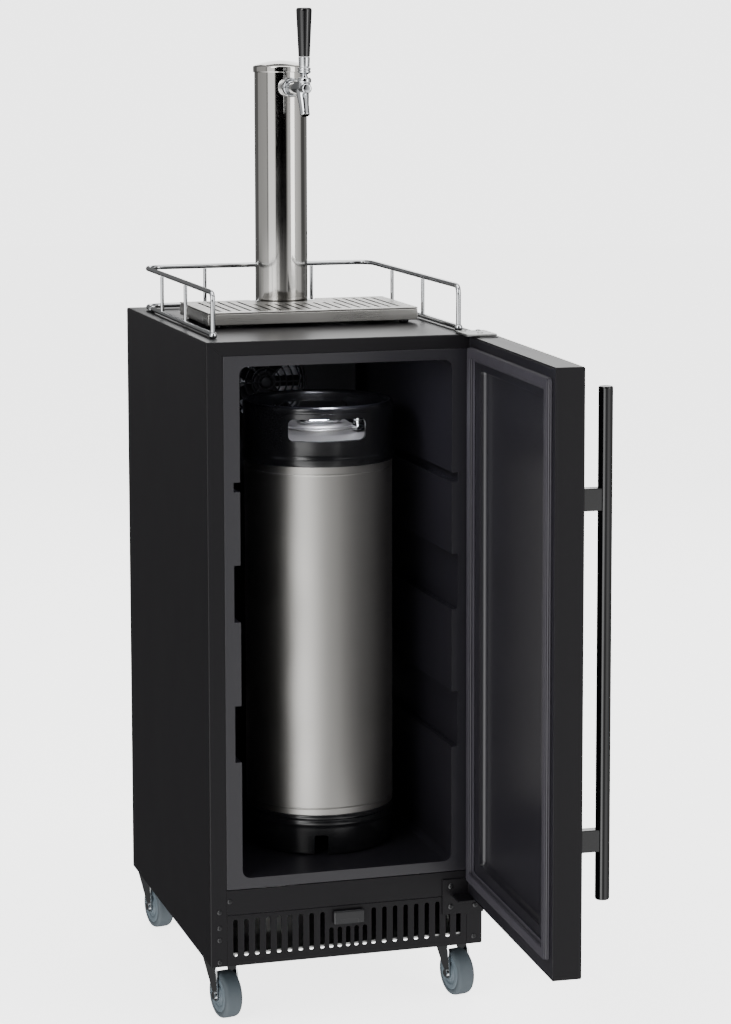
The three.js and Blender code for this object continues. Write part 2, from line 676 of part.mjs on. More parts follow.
function lidBail() {
  const corners = [vec(-BAIL_HALF, 0, BAIL_Z), vec(-BAIL_HALF, -36, BAIL_Z),
    vec(BAIL_HALF, -36, BAIL_Z), vec(BAIL_HALF, 0, BAIL_Z)];
  const wire = bentRod(corners, [9, 9], 2.4, 2);
  const axle = post(0, 0, -BAIL_HALF, BAIL_HALF, 2.2, 8).rotateY(Math.PI / 2).translate(0, 0, BAIL_Z);
  return join(wire, axle).rotateZ(HAND_HOLE_TURN * Math.PI / 180);
}

function kegPost(turn) {
  const fitting = turned([[0, CROWN + GAP], [10, CROWN + GAP], [10, CROWN + 7], [7.5, CROWN + 9],
    [7.5, CROWN + 19], [8.8, CROWN + 21], [8, CROWN + 25], [0, CROWN + 25]], 16);
  return fitting.translate(65, 0, 0).rotateZ((POST_TURN + turn) * Math.PI / 180);
}

function reliefValve() {
  const low = CROWN + 9 + GAP;
  return turned([[0, low], [7, low], [7, low + 4], [4.5, low + 6], [4.5, low + 11],
    [6.5, low + 12], [6.5, low + 14], [0, low + 14]], 14).translate(0, 24, 0);
}

place('keg_shell', kegShell(), stainless, keg);
place('keg_base_rubber', baseRubber(), moulding, keg);
place('keg_top_rubber', topRubber(), moulding, keg);
place('keg_lid', kegLid(), stainless, keg);
place('keg_lid_bail', lidBail(), stainless, keg);
place('keg_gas_post', kegPost(180), stainless, keg);
place('keg_liquid_post', kegPost(0), stainless, keg);
place('keg_relief_valve', reliefValve(), chrome, keg);

// ---- door ----------------------------------------------------------------------------------

// The door is drawn closed, then turned open about its hinge pin.
const door = new THREE.Group();
door.position.set(PIVOT_X, PIVOT_Y, 0);
door.rotation.z = DOOR_OPEN * Math.PI / 180;
group.add(door);

function onDoor(geometry) {
  return geometry.translate(-PIVOT_X, -PIVOT_Y, 0);
}

const DOOR_INNER = FRONT - DOOR_GAP;
const DOOR_OUTER = DOOR_INNER - DOOR_THICK;

function pinBores() {
  return [post(PIVOT_X, PIVOT_Y, DOOR_TOP - 22, DOOR_TOP + 2, 4.4, 16),
    post(PIVOT_X, PIVOT_Y, DOOR_BOTTOM - 2, DOOR_BOTTOM + 22, 4.4, 16)];
}

function doorSkin() {
  const outside = box(-HALF, HALF, DOOR_OUTER, DOOR_INNER, DOOR_BOTTOM, DOOR_TOP);
  const inside = box(-HALF + SHEET, HALF - SHEET, DOOR_OUTER + SHEET, DOOR_INNER + 1,
    DOOR_BOTTOM + SHEET, DOOR_TOP - SHEET);
  return onDoor(cut(outside, inside, ...pinBores()));
}

function doorLiner() {
  const edge = SHEET + GAP;
  const slab = box(-HALF + edge, HALF - edge, DOOR_INNER - 13, DOOR_INNER, DOOR_BOTTOM + edge,
    DOOR_TOP - edge);
  const dish = panel(-HALF + DISH_INSET, HALF - DISH_INSET, DOOR_BOTTOM + DISH_INSET,
    DOOR_TOP - DISH_INSET + 14, DOOR_INNER - DISH_DEPTH, DOOR_INNER + 1, 10);
  const relief = box(-HALF + 22, HALF - 22, DOOR_INNER - 14, DOOR_INNER - DISH_DEPTH - 2.5,
    DOOR_BOTTOM + 24, DOOR_TOP - 24);
  const wells = pinBores();
  return onDoor(cut(slab, dish, relief, ...wells));
}

function doorGasket() {
  const inset = GASKET_INSET;
  const inner = GASKET_INSET + GASKET_WIDTH;
  const low = DOOR_BOTTOM + GASKET_INSET_BOTTOM;
  const ring = panel(-HALF + inset, HALF - inset, low, DOOR_TOP - inset, DOOR_INNER + GAP,
    FRONT - GAP, 4, 2);
  const hole = panel(-HALF + inner, HALF - inner, low + GASKET_WIDTH, DOOR_TOP - inner,
    DOOR_INNER - 1, FRONT + 1, 4, 2);
  return onDoor(cut(ring, hole));
}

const HANDLE_X = -HALF + HANDLE_INSET;
const HANDLE_Y = DOOR_OUTER - HANDLE_STANDOFF;

function handleBar() {
  const chamfer = 1.6;
  return onDoor(turned([[0, HANDLE_LOW], [HANDLE_RADIUS - chamfer, HANDLE_LOW],
    [HANDLE_RADIUS, HANDLE_LOW + chamfer], [HANDLE_RADIUS, HANDLE_HIGH - chamfer],
    [HANDLE_RADIUS - chamfer, HANDLE_HIGH], [0, HANDLE_HIGH]], 24).translate(HANDLE_X, HANDLE_Y, 0));
}

function handlePost(z) {
  const block = box(HANDLE_X - 7, HANDLE_X + 7, HANDLE_Y, DOOR_OUTER - GAP, z, z + POST_HEIGHT);
  const seat = post(HANDLE_X, HANDLE_Y, z - 5, z + POST_HEIGHT + 5, HANDLE_RADIUS + GAP, 24);
  return onDoor(cut(block, seat));
}

place('door_skin', doorSkin(), blackPaint, door);
place('door_liner', doorLiner(), innerPlastic, door);
place('door_gasket', doorGasket(), gasketRubber, door);
place('door_handle_bar', handleBar(), glossBlack, door);
place('door_handle_post_low', handlePost(POST_LEVELS[0]), glossBlack, door);
place('door_handle_post_high', handlePost(POST_LEVELS[1]), glossBlack, door);

// ---- casters -------------------------------------------------------------------------------

function casterStem() {
  return turned([[0, CROWN_Z + 5], [15, CROWN_Z + 5], [16, CROWN_Z + 8], [16, BASE_Z - GAP],
    [5, BASE_Z - GAP], [5, BASE_Z + 18], [0, BASE_Z + 18]], 14);
}

// The fork's side plate: broad under the crown and drawn in to a round eye at the axle.
function forkLeg(x) {
  const outline = new THREE.Shape();
  outline.moveTo(-17, CROWN_Z + 2);
  outline.lineTo(-17, CROWN_Z - 10);
  outline.lineTo(CASTER_TRAIL - 9, WHEEL_RADIUS + 4);
  outline.absarc(CASTER_TRAIL, WHEEL_RADIUS, 8, Math.PI * 0.85, Math.PI * 1.95);
  outline.lineTo(CASTER_TRAIL + 4, CROWN_Z - 22);
  outline.lineTo(17, CROWN_Z + 2);
  const settings = { depth: 2, bevelEnabled: false, curveSegments: 5 };
  const plate = new THREE.ExtrudeGeometry(outline, settings);
  plate.rotateX(Math.PI / 2).rotateZ(-Math.PI / 2);
  return plate.translate(x + 1, 0, 0);
}

function casterFork() {
  const crown = turned([[0, CROWN_Z], [17, CROWN_Z], [17, CROWN_Z + 3], [13, CROWN_Z + 4.7],
    [0, CROWN_Z + 4.7]], 14);
  const axle = post(0, 0, -18, 18, 3.4, 10);
  const heads = [post(0, 0, 16, 19.5, 5.5, 10), post(0, 0, -19.5, -16, 5.5, 10)];
  const pin = join(axle, ...heads).rotateY(Math.PI / 2).translate(0, -CASTER_TRAIL, WHEEL_RADIUS);
  return join(crown, forkLeg(-15.6), forkLeg(15.6), pin);
}

function casterWheel() {
  const w = WHEEL_WIDTH / 2;
  const profile = [[3.9, -w - 1], [9, -w - 1], [9, -w], [WHEEL_RADIUS - 4, -w],
    [WHEEL_RADIUS, -w + 5], [WHEEL_RADIUS, w - 5], [WHEEL_RADIUS - 4, w], [9, w],
    [9, w + 1], [3.9, w + 1]];
  return turnedRing(profile, 24).rotateY(Math.PI / 2).translate(0, -CASTER_TRAIL, WHEEL_RADIUS);
}

function addCaster(corner, x, y) {
  const caster = new THREE.Group();
  caster.position.set(x, y, 0);
  group.add(caster);
  place(`caster_stem_${corner}`, casterStem(), zinc, caster);
  const swivel = new THREE.Group();
  swivel.rotation.z = CASTER_TURN * Math.PI / 180;
  caster.add(swivel);
  place(`caster_fork_${corner}`, casterFork(), chrome, swivel);
  place(`caster_wheel_${corner}`, casterWheel(), greyTyre, swivel);
}

addCaster('front_left', -CASTER_X, CASTER_FRONT);
addCaster('front_right', CASTER_X, CASTER_FRONT);
addCaster('rear_left', -CASTER_X, CASTER_BACK);
addCaster('rear_right', CASTER_X, CASTER_BACK);

export default group;
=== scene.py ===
"""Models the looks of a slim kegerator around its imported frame: +Z up, front towards -Y."""
import math

import bpy
from mathutils import Matrix, Vector


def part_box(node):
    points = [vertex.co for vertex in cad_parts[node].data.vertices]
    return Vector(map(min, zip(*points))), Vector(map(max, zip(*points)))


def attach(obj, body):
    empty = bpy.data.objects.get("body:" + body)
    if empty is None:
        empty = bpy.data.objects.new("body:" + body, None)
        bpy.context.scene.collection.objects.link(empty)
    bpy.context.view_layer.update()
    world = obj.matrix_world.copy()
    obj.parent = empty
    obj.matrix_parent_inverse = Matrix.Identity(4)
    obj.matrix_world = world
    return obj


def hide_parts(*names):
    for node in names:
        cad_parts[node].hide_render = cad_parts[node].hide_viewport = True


bl_info = {
    "name": "Kegerator",
    "version": (1, 0, 0),
    "blender": (4, 5, 0),
    "location": "3D View > Sidebar > Kegerator",
    "description": "Models a slim kegerator around its packed frame",
    "category": "Add Mesh",
}

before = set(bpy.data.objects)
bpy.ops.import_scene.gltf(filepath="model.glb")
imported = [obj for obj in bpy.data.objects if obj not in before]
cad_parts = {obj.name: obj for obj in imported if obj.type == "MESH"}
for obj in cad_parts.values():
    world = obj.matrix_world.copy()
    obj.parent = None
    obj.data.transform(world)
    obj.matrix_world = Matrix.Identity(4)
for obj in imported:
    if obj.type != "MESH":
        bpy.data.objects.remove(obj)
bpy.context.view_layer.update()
MM = 0.001
CORNERS = ("front_left", "front_right", "rear_left", "rear_right")
KEG_STEPS = 144                  # sides of the keg's turned pieces
TOWER_STEPS = 128
ROUND_STEPS = 96                 # sides of any other large turned piece
TAP_STEPS = 64
SMALL_STEPS = 48
ROD_STEPS = 24
TINY = 0.01                      # vertices closer than this are one, in millimetres
STRAIGHT = math.radians(12)      # a corner that turns less than this isn't rounded
EASE_SHARE = 0.45                # how much of a side one rounding may take

GAP = 0.3                        # clearance between pieces that touch, in millimetres
SHEET = 1.5                      # thickness of the steel sheet
LINE_HOLE = 30.0                 # radius of the beer line's way up into the tower
DOOR_PIVOT = (183.0, -276.0)
DOOR_OPEN = 87.5                 # degrees from closed, in the rest pose
CASTER_TURN = 10.0               # degrees that the casters are swivelled at rest


# ---- reading the frame ------------------------------------------------------------------------

def span(node):
    """x0, x1, y0, y1, z0, z1 of a CAD node at rest, in millimetres."""
    low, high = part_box(node)
    return [value / MM for pair in zip(low, high) for value in pair]


def middle(node):
    x0, x1, y0, y1, z0, z1 = span(node)
    return Vector(((x0 + x1) / 2, (y0 + y1) / 2, (z0 + z1) / 2))


# ---- modelling --------------------------------------------------------------------------------

def only(*objects):
    bpy.ops.object.select_all(action="DESELECT")
    for obj in objects:
        obj.select_set(True)
    bpy.context.view_layer.objects.active = objects[0]


def modify(obj, kind, **settings):
    """Adds a modifier and applies it."""
    only(obj)
    modifier = obj.modifiers.new(kind, kind)
    for key, value in settings.items():
        setattr(modifier, key, value)
    bpy.ops.object.modifier_apply(modifier=modifier.name)
    return obj


def bevelled(obj, width, segments=3, angle=35.0):
    return modify(obj, "BEVEL", width=width * MM, segments=segments, limit_method="ANGLE",
                  angle_limit=math.radians(angle), miter_outer="MITER_ARC")


def softened(obj, width, segments=2, angle=55.0):
    """Splits flat faces round their holes, then eases the edges that the cutting left."""
    modify(obj, "TRIANGULATE", quad_method="BEAUTY", ngon_method="BEAUTY")
    return modify(obj, "BEVEL", width=width * MM, segments=segments, limit_method="ANGLE",
                  angle_limit=math.radians(angle))


def block(name, spans, rounding=0.0, segments=3):
    """A box from its spans, with its edges rounded."""
    x0, x1, y0, y1, z0, z1 = spans
    bpy.ops.object.select_all(action="DESELECT")
    bpy.ops.mesh.primitive_cube_add(size=1.0)
    obj = bpy.context.object
    obj.name = name
    obj.scale = ((x1 - x0) * MM, (y1 - y0) * MM, (z1 - z0) * MM)
    obj.location = ((x0 + x1) / 2 * MM, (y0 + y1) / 2 * MM, (z0 + z1) / 2 * MM)
    bpy.ops.object.transform_apply()
    return bevelled(obj, rounding, segments) if rounding else obj


def carve(obj, *cutters, operation="DIFFERENCE"):
    """Cuts, adds or keeps what the cutters cover, and removes them."""
    for cutter in cutters:
        modify(obj, "BOOLEAN", object=cutter, operation=operation, solver="EXACT")
        bpy.data.objects.remove(cutter)
    return obj


def joined(*objects, name="parts"):
    only(*objects)
    bpy.ops.object.join()
    bpy.context.object.name = name
    return bpy.context.object


def placed(at, towards=(0, 0, 1)):
    """A turn of +Z towards a direction, then a move to a place in millimetres."""
    lean = Vector((0, 0, 1)).rotation_difference(Vector(towards)).to_matrix().to_4x4()
    return Matrix.Translation(Vector(at) * MM) @ lean


def moved(obj, matrix):
    """Puts a finished shape in its place and leaves its object at the origin."""
    obj.matrix_world = matrix @ obj.matrix_world
    only(obj)
    bpy.ops.object.transform_apply()
    return obj


def spun_round(obj, degrees, centre=(0.0, 0.0), axis="Z"):
    """Turns a shape about an upright line through centre, or about an axis through the origin."""
    there = placed((*centre, 0.0))
    return moved(obj, there @ Matrix.Rotation(math.radians(degrees), 4, axis) @ there.inverted())


def copied(obj, name):
    only(obj)
    bpy.ops.object.duplicate()
    twin = bpy.context.object
    twin.name = name
    return twin


def eased(points, radius, steps=3, closed=False):
    """The same outline or path with its corners rounded by one radius, or by one for each."""
    points = [Vector(p) for p in points]
    count = len(points)
    radii = radius if isinstance(radius, tuple) else (radius,) * count
    result = []
    for i, here in enumerate(points):
        if not closed and i in (0, count - 1):
            result.append(here)
            continue
        back = points[i - 1] - here
        ahead = points[(i + 1) % count] - here
        if back.length < TINY or ahead.length < TINY or back.angle(-ahead) < STRAIGHT:
            result.append(here)
            continue
        start = here + back.normalized() * min(radii[i], back.length * EASE_SHARE)
        end = here + ahead.normalized() * min(radii[i], ahead.length * EASE_SHARE)
        for step in range(steps + 1):
            t = step / steps
            result.append(start * (1 - t) ** 2 + here * 2 * t * (1 - t) + end * t * t)
    return result


def drawn(name, points):
    """A line of edges through the points, drawn by extruding one vertex. Left in edit mode."""
    bpy.ops.object.select_all(action="DESELECT")
    bpy.ops.mesh.primitive_plane_add(size=MM)
    obj = bpy.context.object
    obj.name = name
    bpy.ops.object.mode_set(mode="EDIT")
    bpy.ops.mesh.select_all(action="SELECT")
    bpy.ops.mesh.merge(type="CENTER")
    bpy.ops.transform.translate(value=Vector(points[0]) * MM)
    for before, after in zip(points, points[1:]):
        bpy.ops.mesh.extrude_region_move(
            TRANSFORM_OT_translate={"value": (Vector(after) - Vector(before)) * MM})
    return obj


def closed_up():
    """Merges doubles and turns the faces outwards, in edit mode, then leaves it."""
    bpy.ops.mesh.select_all(action="SELECT")
    bpy.ops.mesh.remove_doubles(threshold=TINY * MM)
    bpy.ops.mesh.normals_make_consistent(inside=False)
    bpy.ops.object.mode_set(mode="OBJECT")


def turned(name, outline, at=(0, 0, 0), towards=(0, 0, 1), steps=ROUND_STEPS, ring=False,
           ease=0.0):
    """A shape spun from (radius, height) pairs. A ring's outline closes on itself."""
    points = [Vector((r, 0, z)) for r, z in outline]
    if ease:
        points = eased(points, ease, closed=ring)
    if ring:
        points.append(points[0])
    obj = drawn(name, points)
    bpy.ops.mesh.select_all(action="SELECT")
    bpy.ops.mesh.spin(steps=steps, angle=2 * math.pi, center=(0, 0, 0), axis=(0, 0, 1))
    closed_up()
    return moved(obj, placed(at, towards))


def pin(name, radius, low, high, **settings):
    """A plain round bar, for a piece or as a cutter."""
    return turned(name, [(0, low), (radius, low), (radius, high), (0, high)], **settings)


def rod(name, corners, bend, radius, bend_steps=10):
    """A round rod along a path whose corners are bent."""
    obj = drawn(name, eased(corners, bend, bend_steps))
    bpy.ops.object.mode_set(mode="OBJECT")
    only(obj)
    bpy.ops.object.convert(target="CURVE")
    obj = bpy.context.object
    obj.data.dimensions = "3D"
    obj.data.bevel_depth = radius * MM
    obj.data.bevel_resolution = 5
    obj.data.use_fill_caps = True
    bpy.ops.object.convert(target="MESH")
    obj = bpy.context.object
    bpy.ops.object.mode_set(mode="EDIT")
    closed_up()
    return obj


def framed(name, x0, x1, z0, z1, corner, section):
    """A rectangular frame whose section is (inset, y) pairs and closes on itself."""
    outline = eased([(x0, 0, z0), (x1, 0, z0), (x1, 0, z1), (x0, 0, z1)], corner, 6, closed=True)
    inset, y = section[0]
    x, z = (x0 + x1) / 2, (z0 + z1) / 2
    half = ((x1 - x0) / 2, (z1 - z0) / 2)
    loop = [Vector((x + (p.x - x) * (half[0] - inset) / half[0], y,
                    z + (p.z - z) * (half[1] - inset) / half[1])) for p in outline]
    obj = drawn(name, loop + [loop[0]])
    bpy.ops.mesh.select_all(action="SELECT")
    bpy.ops.mesh.remove_doubles(threshold=TINY * MM)
    for next_inset, next_y in section[1:] + section[:1]:
        bpy.ops.mesh.extrude_region_move(
            TRANSFORM_OT_translate={"value": (0, (next_y - y) * MM, 0)})
        bpy.ops.transform.resize(
            value=((half[0] - next_inset) / (half[0] - inset), 1.0,
                   (half[1] - next_inset) / (half[1] - inset)),
            center_override=(x * MM, next_y * MM, z * MM))
        inset, y = next_inset, next_y
    closed_up()
    return obj


def refined(node, name, width=0.0, segments=2):
    """A merged copy of a CAD node with its edges softened."""
    obj = bpy.data.objects.new(name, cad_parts[node].data.copy())
    bpy.context.scene.collection.objects.link(obj)
    only(obj)
    bpy.ops.object.mode_set(mode="EDIT")
    bpy.ops.mesh.select_all(action="SELECT")
    bpy.ops.mesh.remove_doubles(threshold=TINY * MM)
    bpy.ops.object.mode_set(mode="OBJECT")
    return softened(obj, width, segments) if width else obj


def screw_heads(name, places, towards, radius):
    """Pan heads with a cross recess, one at each place, each turned its own way."""
    height, first_turn, next_turn = radius * 0.55, 0.7, 1.1
    head = turned(name, [
        (0, -0.6), (radius, -0.6), (radius, height * 0.35), (radius * 0.6, height * 0.9),
        (0, height)], steps=SMALL_STEPS, ease=0.5)
    arm, half, deep = radius * 0.62, radius * 0.11, height * 0.35
    carve(head, block("recess_across", (-arm, arm, -half, half, deep, height + 1)),
          block("recess_along", (-half, half, -arm, arm, deep, height + 1)))
    heads = [moved(copied(head, f"{name}_{index}"), placed(place, towards)
                   @ Matrix.Rotation(first_turn + index * next_turn, 4, "Z"))
             for index, place in enumerate(places)]
    bpy.data.objects.remove(head)
    return joined(*heads, name=name)


def on_door(obj):
    """Turns a piece drawn on the closed door to where the door stands open."""
    return spun_round(obj, DOOR_OPEN, DOOR_PIVOT)


def dress(obj, body, material, *nodes, slot=None, angle=38.0):
    """Shades a finished piece, gives it its material and hands it to the frame."""
    only(obj)
    bpy.ops.object.shade_smooth_by_angle(angle=math.radians(angle))
    modify(obj, "WEIGHTED_NORMAL", keep_sharp=True)
    obj.data.materials.clear()
    obj.data.materials.append(bpy.data.materials[material])
    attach(obj, body)
    if nodes:
        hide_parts(*nodes)
    return obj


# ---- materials --------------------------------------------------------------------------------

MARK_SIZE = 90.0                 # millimetres across the marks that handling and cleaning leave


def linear(code):
    """An sRGB hex colour as linear red, green and blue."""
    parts = [int(code[i:i + 2], 16) / 255 for i in (1, 3, 5)]
    return [p / 12.92 if p <= 0.04045 else ((p + 0.055) / 1.055) ** 2.4 for p in parts]


def add(tree, kind, values=None, links=None, **attributes):
    """Adds a node with its settings and links."""
    node = tree.nodes.new(kind)
    for key, value in attributes.items():
        setattr(node, key, value)
    for key, value in (values or {}).items():
        node.inputs[key].default_value = value
    for key, source in (links or {}).items():
        tree.links.new(source, node.inputs[key])
    return node


def surface(name, colour, shade, rough, grain, relief, spread=0.05, cells=False, detail=4.0,
            **shader):
    """A material of two close shades with a grain of a real size in millimetres along X, Y and Z.

    shade is how much darker the grain's low parts are, relief its height in millimetres, and
    spread how far the grain and the handling marks change the gloss.
    """
    material = bpy.data.materials.new(name)
    material.use_nodes = True
    tree = material.node_tree
    tree.nodes.clear()
    place = add(tree, "ShaderNodeTexCoord")
    scaled = add(tree, "ShaderNodeMapping", {"Scale": [1 / (size * MM) for size in grain]},
                 {"Vector": place.outputs["Object"]})
    if cells:
        fine = add(tree, "ShaderNodeTexVoronoi", {"Scale": 1.0},
                   {"Vector": scaled.outputs["Vector"]})
        height = fine.outputs["Color"]
    else:
        fine = add(tree, "ShaderNodeTexNoise", {"Scale": 1.0, "Detail": detail,
                                                "Roughness": 0.6},
                   {"Vector": scaled.outputs["Vector"]})
        height = fine.outputs["Fac"]
    marks = add(tree, "ShaderNodeTexNoise", {"Scale": 1 / (MARK_SIZE * MM), "Detail": 3.0},
                {"Vector": place.outputs["Object"]})
    low = [c * (1 - shade) for c in colour]
    tint = add(tree, "ShaderNodeMix", {6: (*low, 1.0), 7: (*colour, 1.0)},
               {0: height}, data_type="RGBA")
    grain_rough = add(tree, "ShaderNodeMapRange",
                      {"From Min": 0.3, "From Max": 0.7, "To Min": rough - spread,
                       "To Max": rough + spread}, {"Value": height})
    mark_rough = add(tree, "ShaderNodeMapRange",
                     {"From Min": 0.35, "From Max": 0.65, "To Min": -spread, "To Max": spread},
                     {"Value": marks.outputs["Fac"]})
    gloss = add(tree, "ShaderNodeMath", None, {0: grain_rough.outputs["Result"],
                                               1: mark_rough.outputs["Result"]}, operation="ADD")
    bump = add(tree, "ShaderNodeBump", {"Strength": 1.0, "Distance": relief * MM},
               {"Height": height})
    settings = {key.replace("_", " ").title().replace("Ior", "IOR"): value
                for key, value in shader.items()}
    bsdf = add(tree, "ShaderNodeBsdfPrincipled", settings,
               {"Base Color": tint.outputs[2], "Roughness": gloss.outputs["Value"],
                "Normal": bump.outputs["Normal"]})
    add(tree, "ShaderNodeOutputMaterial", None, {"Surface": bsdf.outputs["BSDF"]})
    return material


def colour_of(name):
    return list(getattr(bpy.context.scene.kegerator_colours, name))


def tone(name, description, code):
    """A colour that the user can change, from its sRGB hex value."""
    return bpy.props.FloatVectorProperty(name=name, description=description, subtype="COLOR",
                                         min=0, max=1, default=linear(code))


def length(name, description, default):
    """A length that the user can change, from its millimetres."""
    return bpy.props.FloatProperty(name=name, description=description, subtype="DISTANCE",
                                   unit="LENGTH", default=default * MM)


class KegeratorColours(bpy.types.PropertyGroup):
    """Colours of the finishes."""
    cabinet: tone("Cabinet", "Powder coat on the wrapper and door", "#0f0e10")
    liner: tone("Liner", "Vacuum-formed inner liner", "#17161a")
    trim: tone("Trim", "Moulded black plastic", "#121214")
    gasket: tone("Gasket", "Door gasket", "#2c2a30")
    steel: tone("Stainless steel", "Keg, tower and tray", "#bab8b4")
    chrome: tone("Chrome", "Tap, rail and caster forks", "#c6c8ca")
    zinc: tone("Galvanised steel", "Back panel, base pan and hinges", "#b4b5b3")
    rubber: tone("Keg rubber", "Top and bottom of the keg", "#0c0c0e")
    enamel: tone("Handle", "Door handle and tap handle", "#040405")
    wheel: tone("Wheel", "Grey caster wheels", "#48535a")
    floor: tone("Floor", "Studio floor", "#f4f4f2")


class KegeratorSizes(bpy.types.PropertyGroup):
    """Sizes of the details."""
    sheet_round: length("Folded edge", "Radius of the folded steel edges", 2.2)
    liner_round: length("Liner corner", "Radius of the liner's inner corners", 6.0)
    screw: length("Screw head", "Radius of the cabinet's screw heads", 3.4)
    spangle: length("Zinc spangle", "Width of the zinc crystals", 7.0)


class KegeratorFinishes(bpy.types.Operator):
    """Makes the materials"""
    bl_idname = "kegerator.finishes"
    bl_label = "Finishes"

    def execute(self, context):
        # Powder coat: an even satin with a very fine orange peel of about 1.6 mm.
        surface("powder_coated_steel", colour_of("cabinet"), 0.14, 0.36, (1.6, 1.6, 1.6), 0.01,
                spread=0.006, specular_ior_level=0.16)
        # Vacuum-formed ABS: glossy, with slow waves from the forming.
        surface("formed_abs", colour_of("liner"), 0.1, 0.3, (30, 30, 30), 0.03, spread=0.004,
                detail=1.0)
        # Moulded ABS with a spark-eroded texture of about 0.8 mm.
        surface("moulded_trim", colour_of("trim"), 0.25, 0.4, (0.8, 0.8, 0.8), 0.03)
        # Extruded PVC: soft sheen, faint draw lines.
        surface("extruded_gasket", colour_of("gasket"), 0.2, 0.5, (1.2, 1.2, 1.2), 0.02)
        # Linished stainless: scratches round the keg, drawn 0.6 mm apart and 90 mm long, which is
        # coarser than real ones, so that they show.
        surface("linished_keg_steel", colour_of("steel"), 0.1, 0.42, (90, 90, 0.6), 0.0014,
                spread=0.012, metallic=1.0, anisotropic=0.4)
        # Polished stainless tube: faint draw lines along its length.
        surface("polished_tower_steel", colour_of("steel"), 0.1, 0.075, (1.2, 1.2, 160), 0.0006,
                spread=0.015, metallic=1.0)
        # Brushed stainless sheet: scratches along X, drawn 0.6 mm apart so that they show.
        surface("brushed_tray_steel", colour_of("steel"), 0.22, 0.3, (70, 0.6, 0.6), 0.005,
                spread=0.03, metallic=1.0)
        # Chrome plate: a clear mirror with faint polishing marks.
        surface("chrome_plating", colour_of("chrome"), 0.05, 0.07, (3, 3, 3), 0.001,
                spread=0.02, metallic=1.0)
        # Hot-dipped zinc: flat crystals that each take the light their own way.
        spangle = context.scene.kegerator_sizes.spangle / MM
        surface("zinc_spangle", colour_of("zinc"), 0.28, 0.42, (spangle,) * 3, 0.01,
                spread=0.06, cells=True, metallic=1.0)
        # Rolled aluminium fins.
        surface("rolled_aluminium", linear("#c9cacc"), 0.15, 0.35, (1.0, 40, 1.0), 0.01,
                metallic=1.0)
        # Moulded rubber, shiny from the mould, with fine pores.
        surface("moulded_rubber", colour_of("rubber"), 0.3, 0.24, (1.4, 1.4, 1.4), 0.015,
                spread=0.03)
        # Stove enamel: deep gloss with a faint peel.
        surface("stove_enamel", colour_of("enamel"), 0.2, 0.1, (3, 3, 3), 0.003, spread=0.015)
        # Grey thermoplastic rubber: dull, a little mottled.
        surface("wheel_rubber", colour_of("wheel"), 0.2, 0.55, (2, 2, 2), 0.03)
        worn = 0.6               # how much darker the tread is than the wheel's face
        surface("wheel_tread", [c * worn for c in colour_of("wheel")], 0.3, 0.65, (1.5,) * 3, 0.06)
        # Black-painted compressor can.
        surface("compressor_paint", colour_of("trim"), 0.3, 0.4, (2, 2, 2), 0.04)
        # Frosted lamp cover over a cold white diode.
        surface("lit_lamp_cover", linear("#f2f2ff"), 0.05, 0.3, (2, 2, 2), 0.01,
                emission_color=(0.75, 0.78, 1.0, 1.0), emission_strength=14.0)
        return {"FINISHED"}


# ---- cabinet ----------------------------------------------------------------------------------

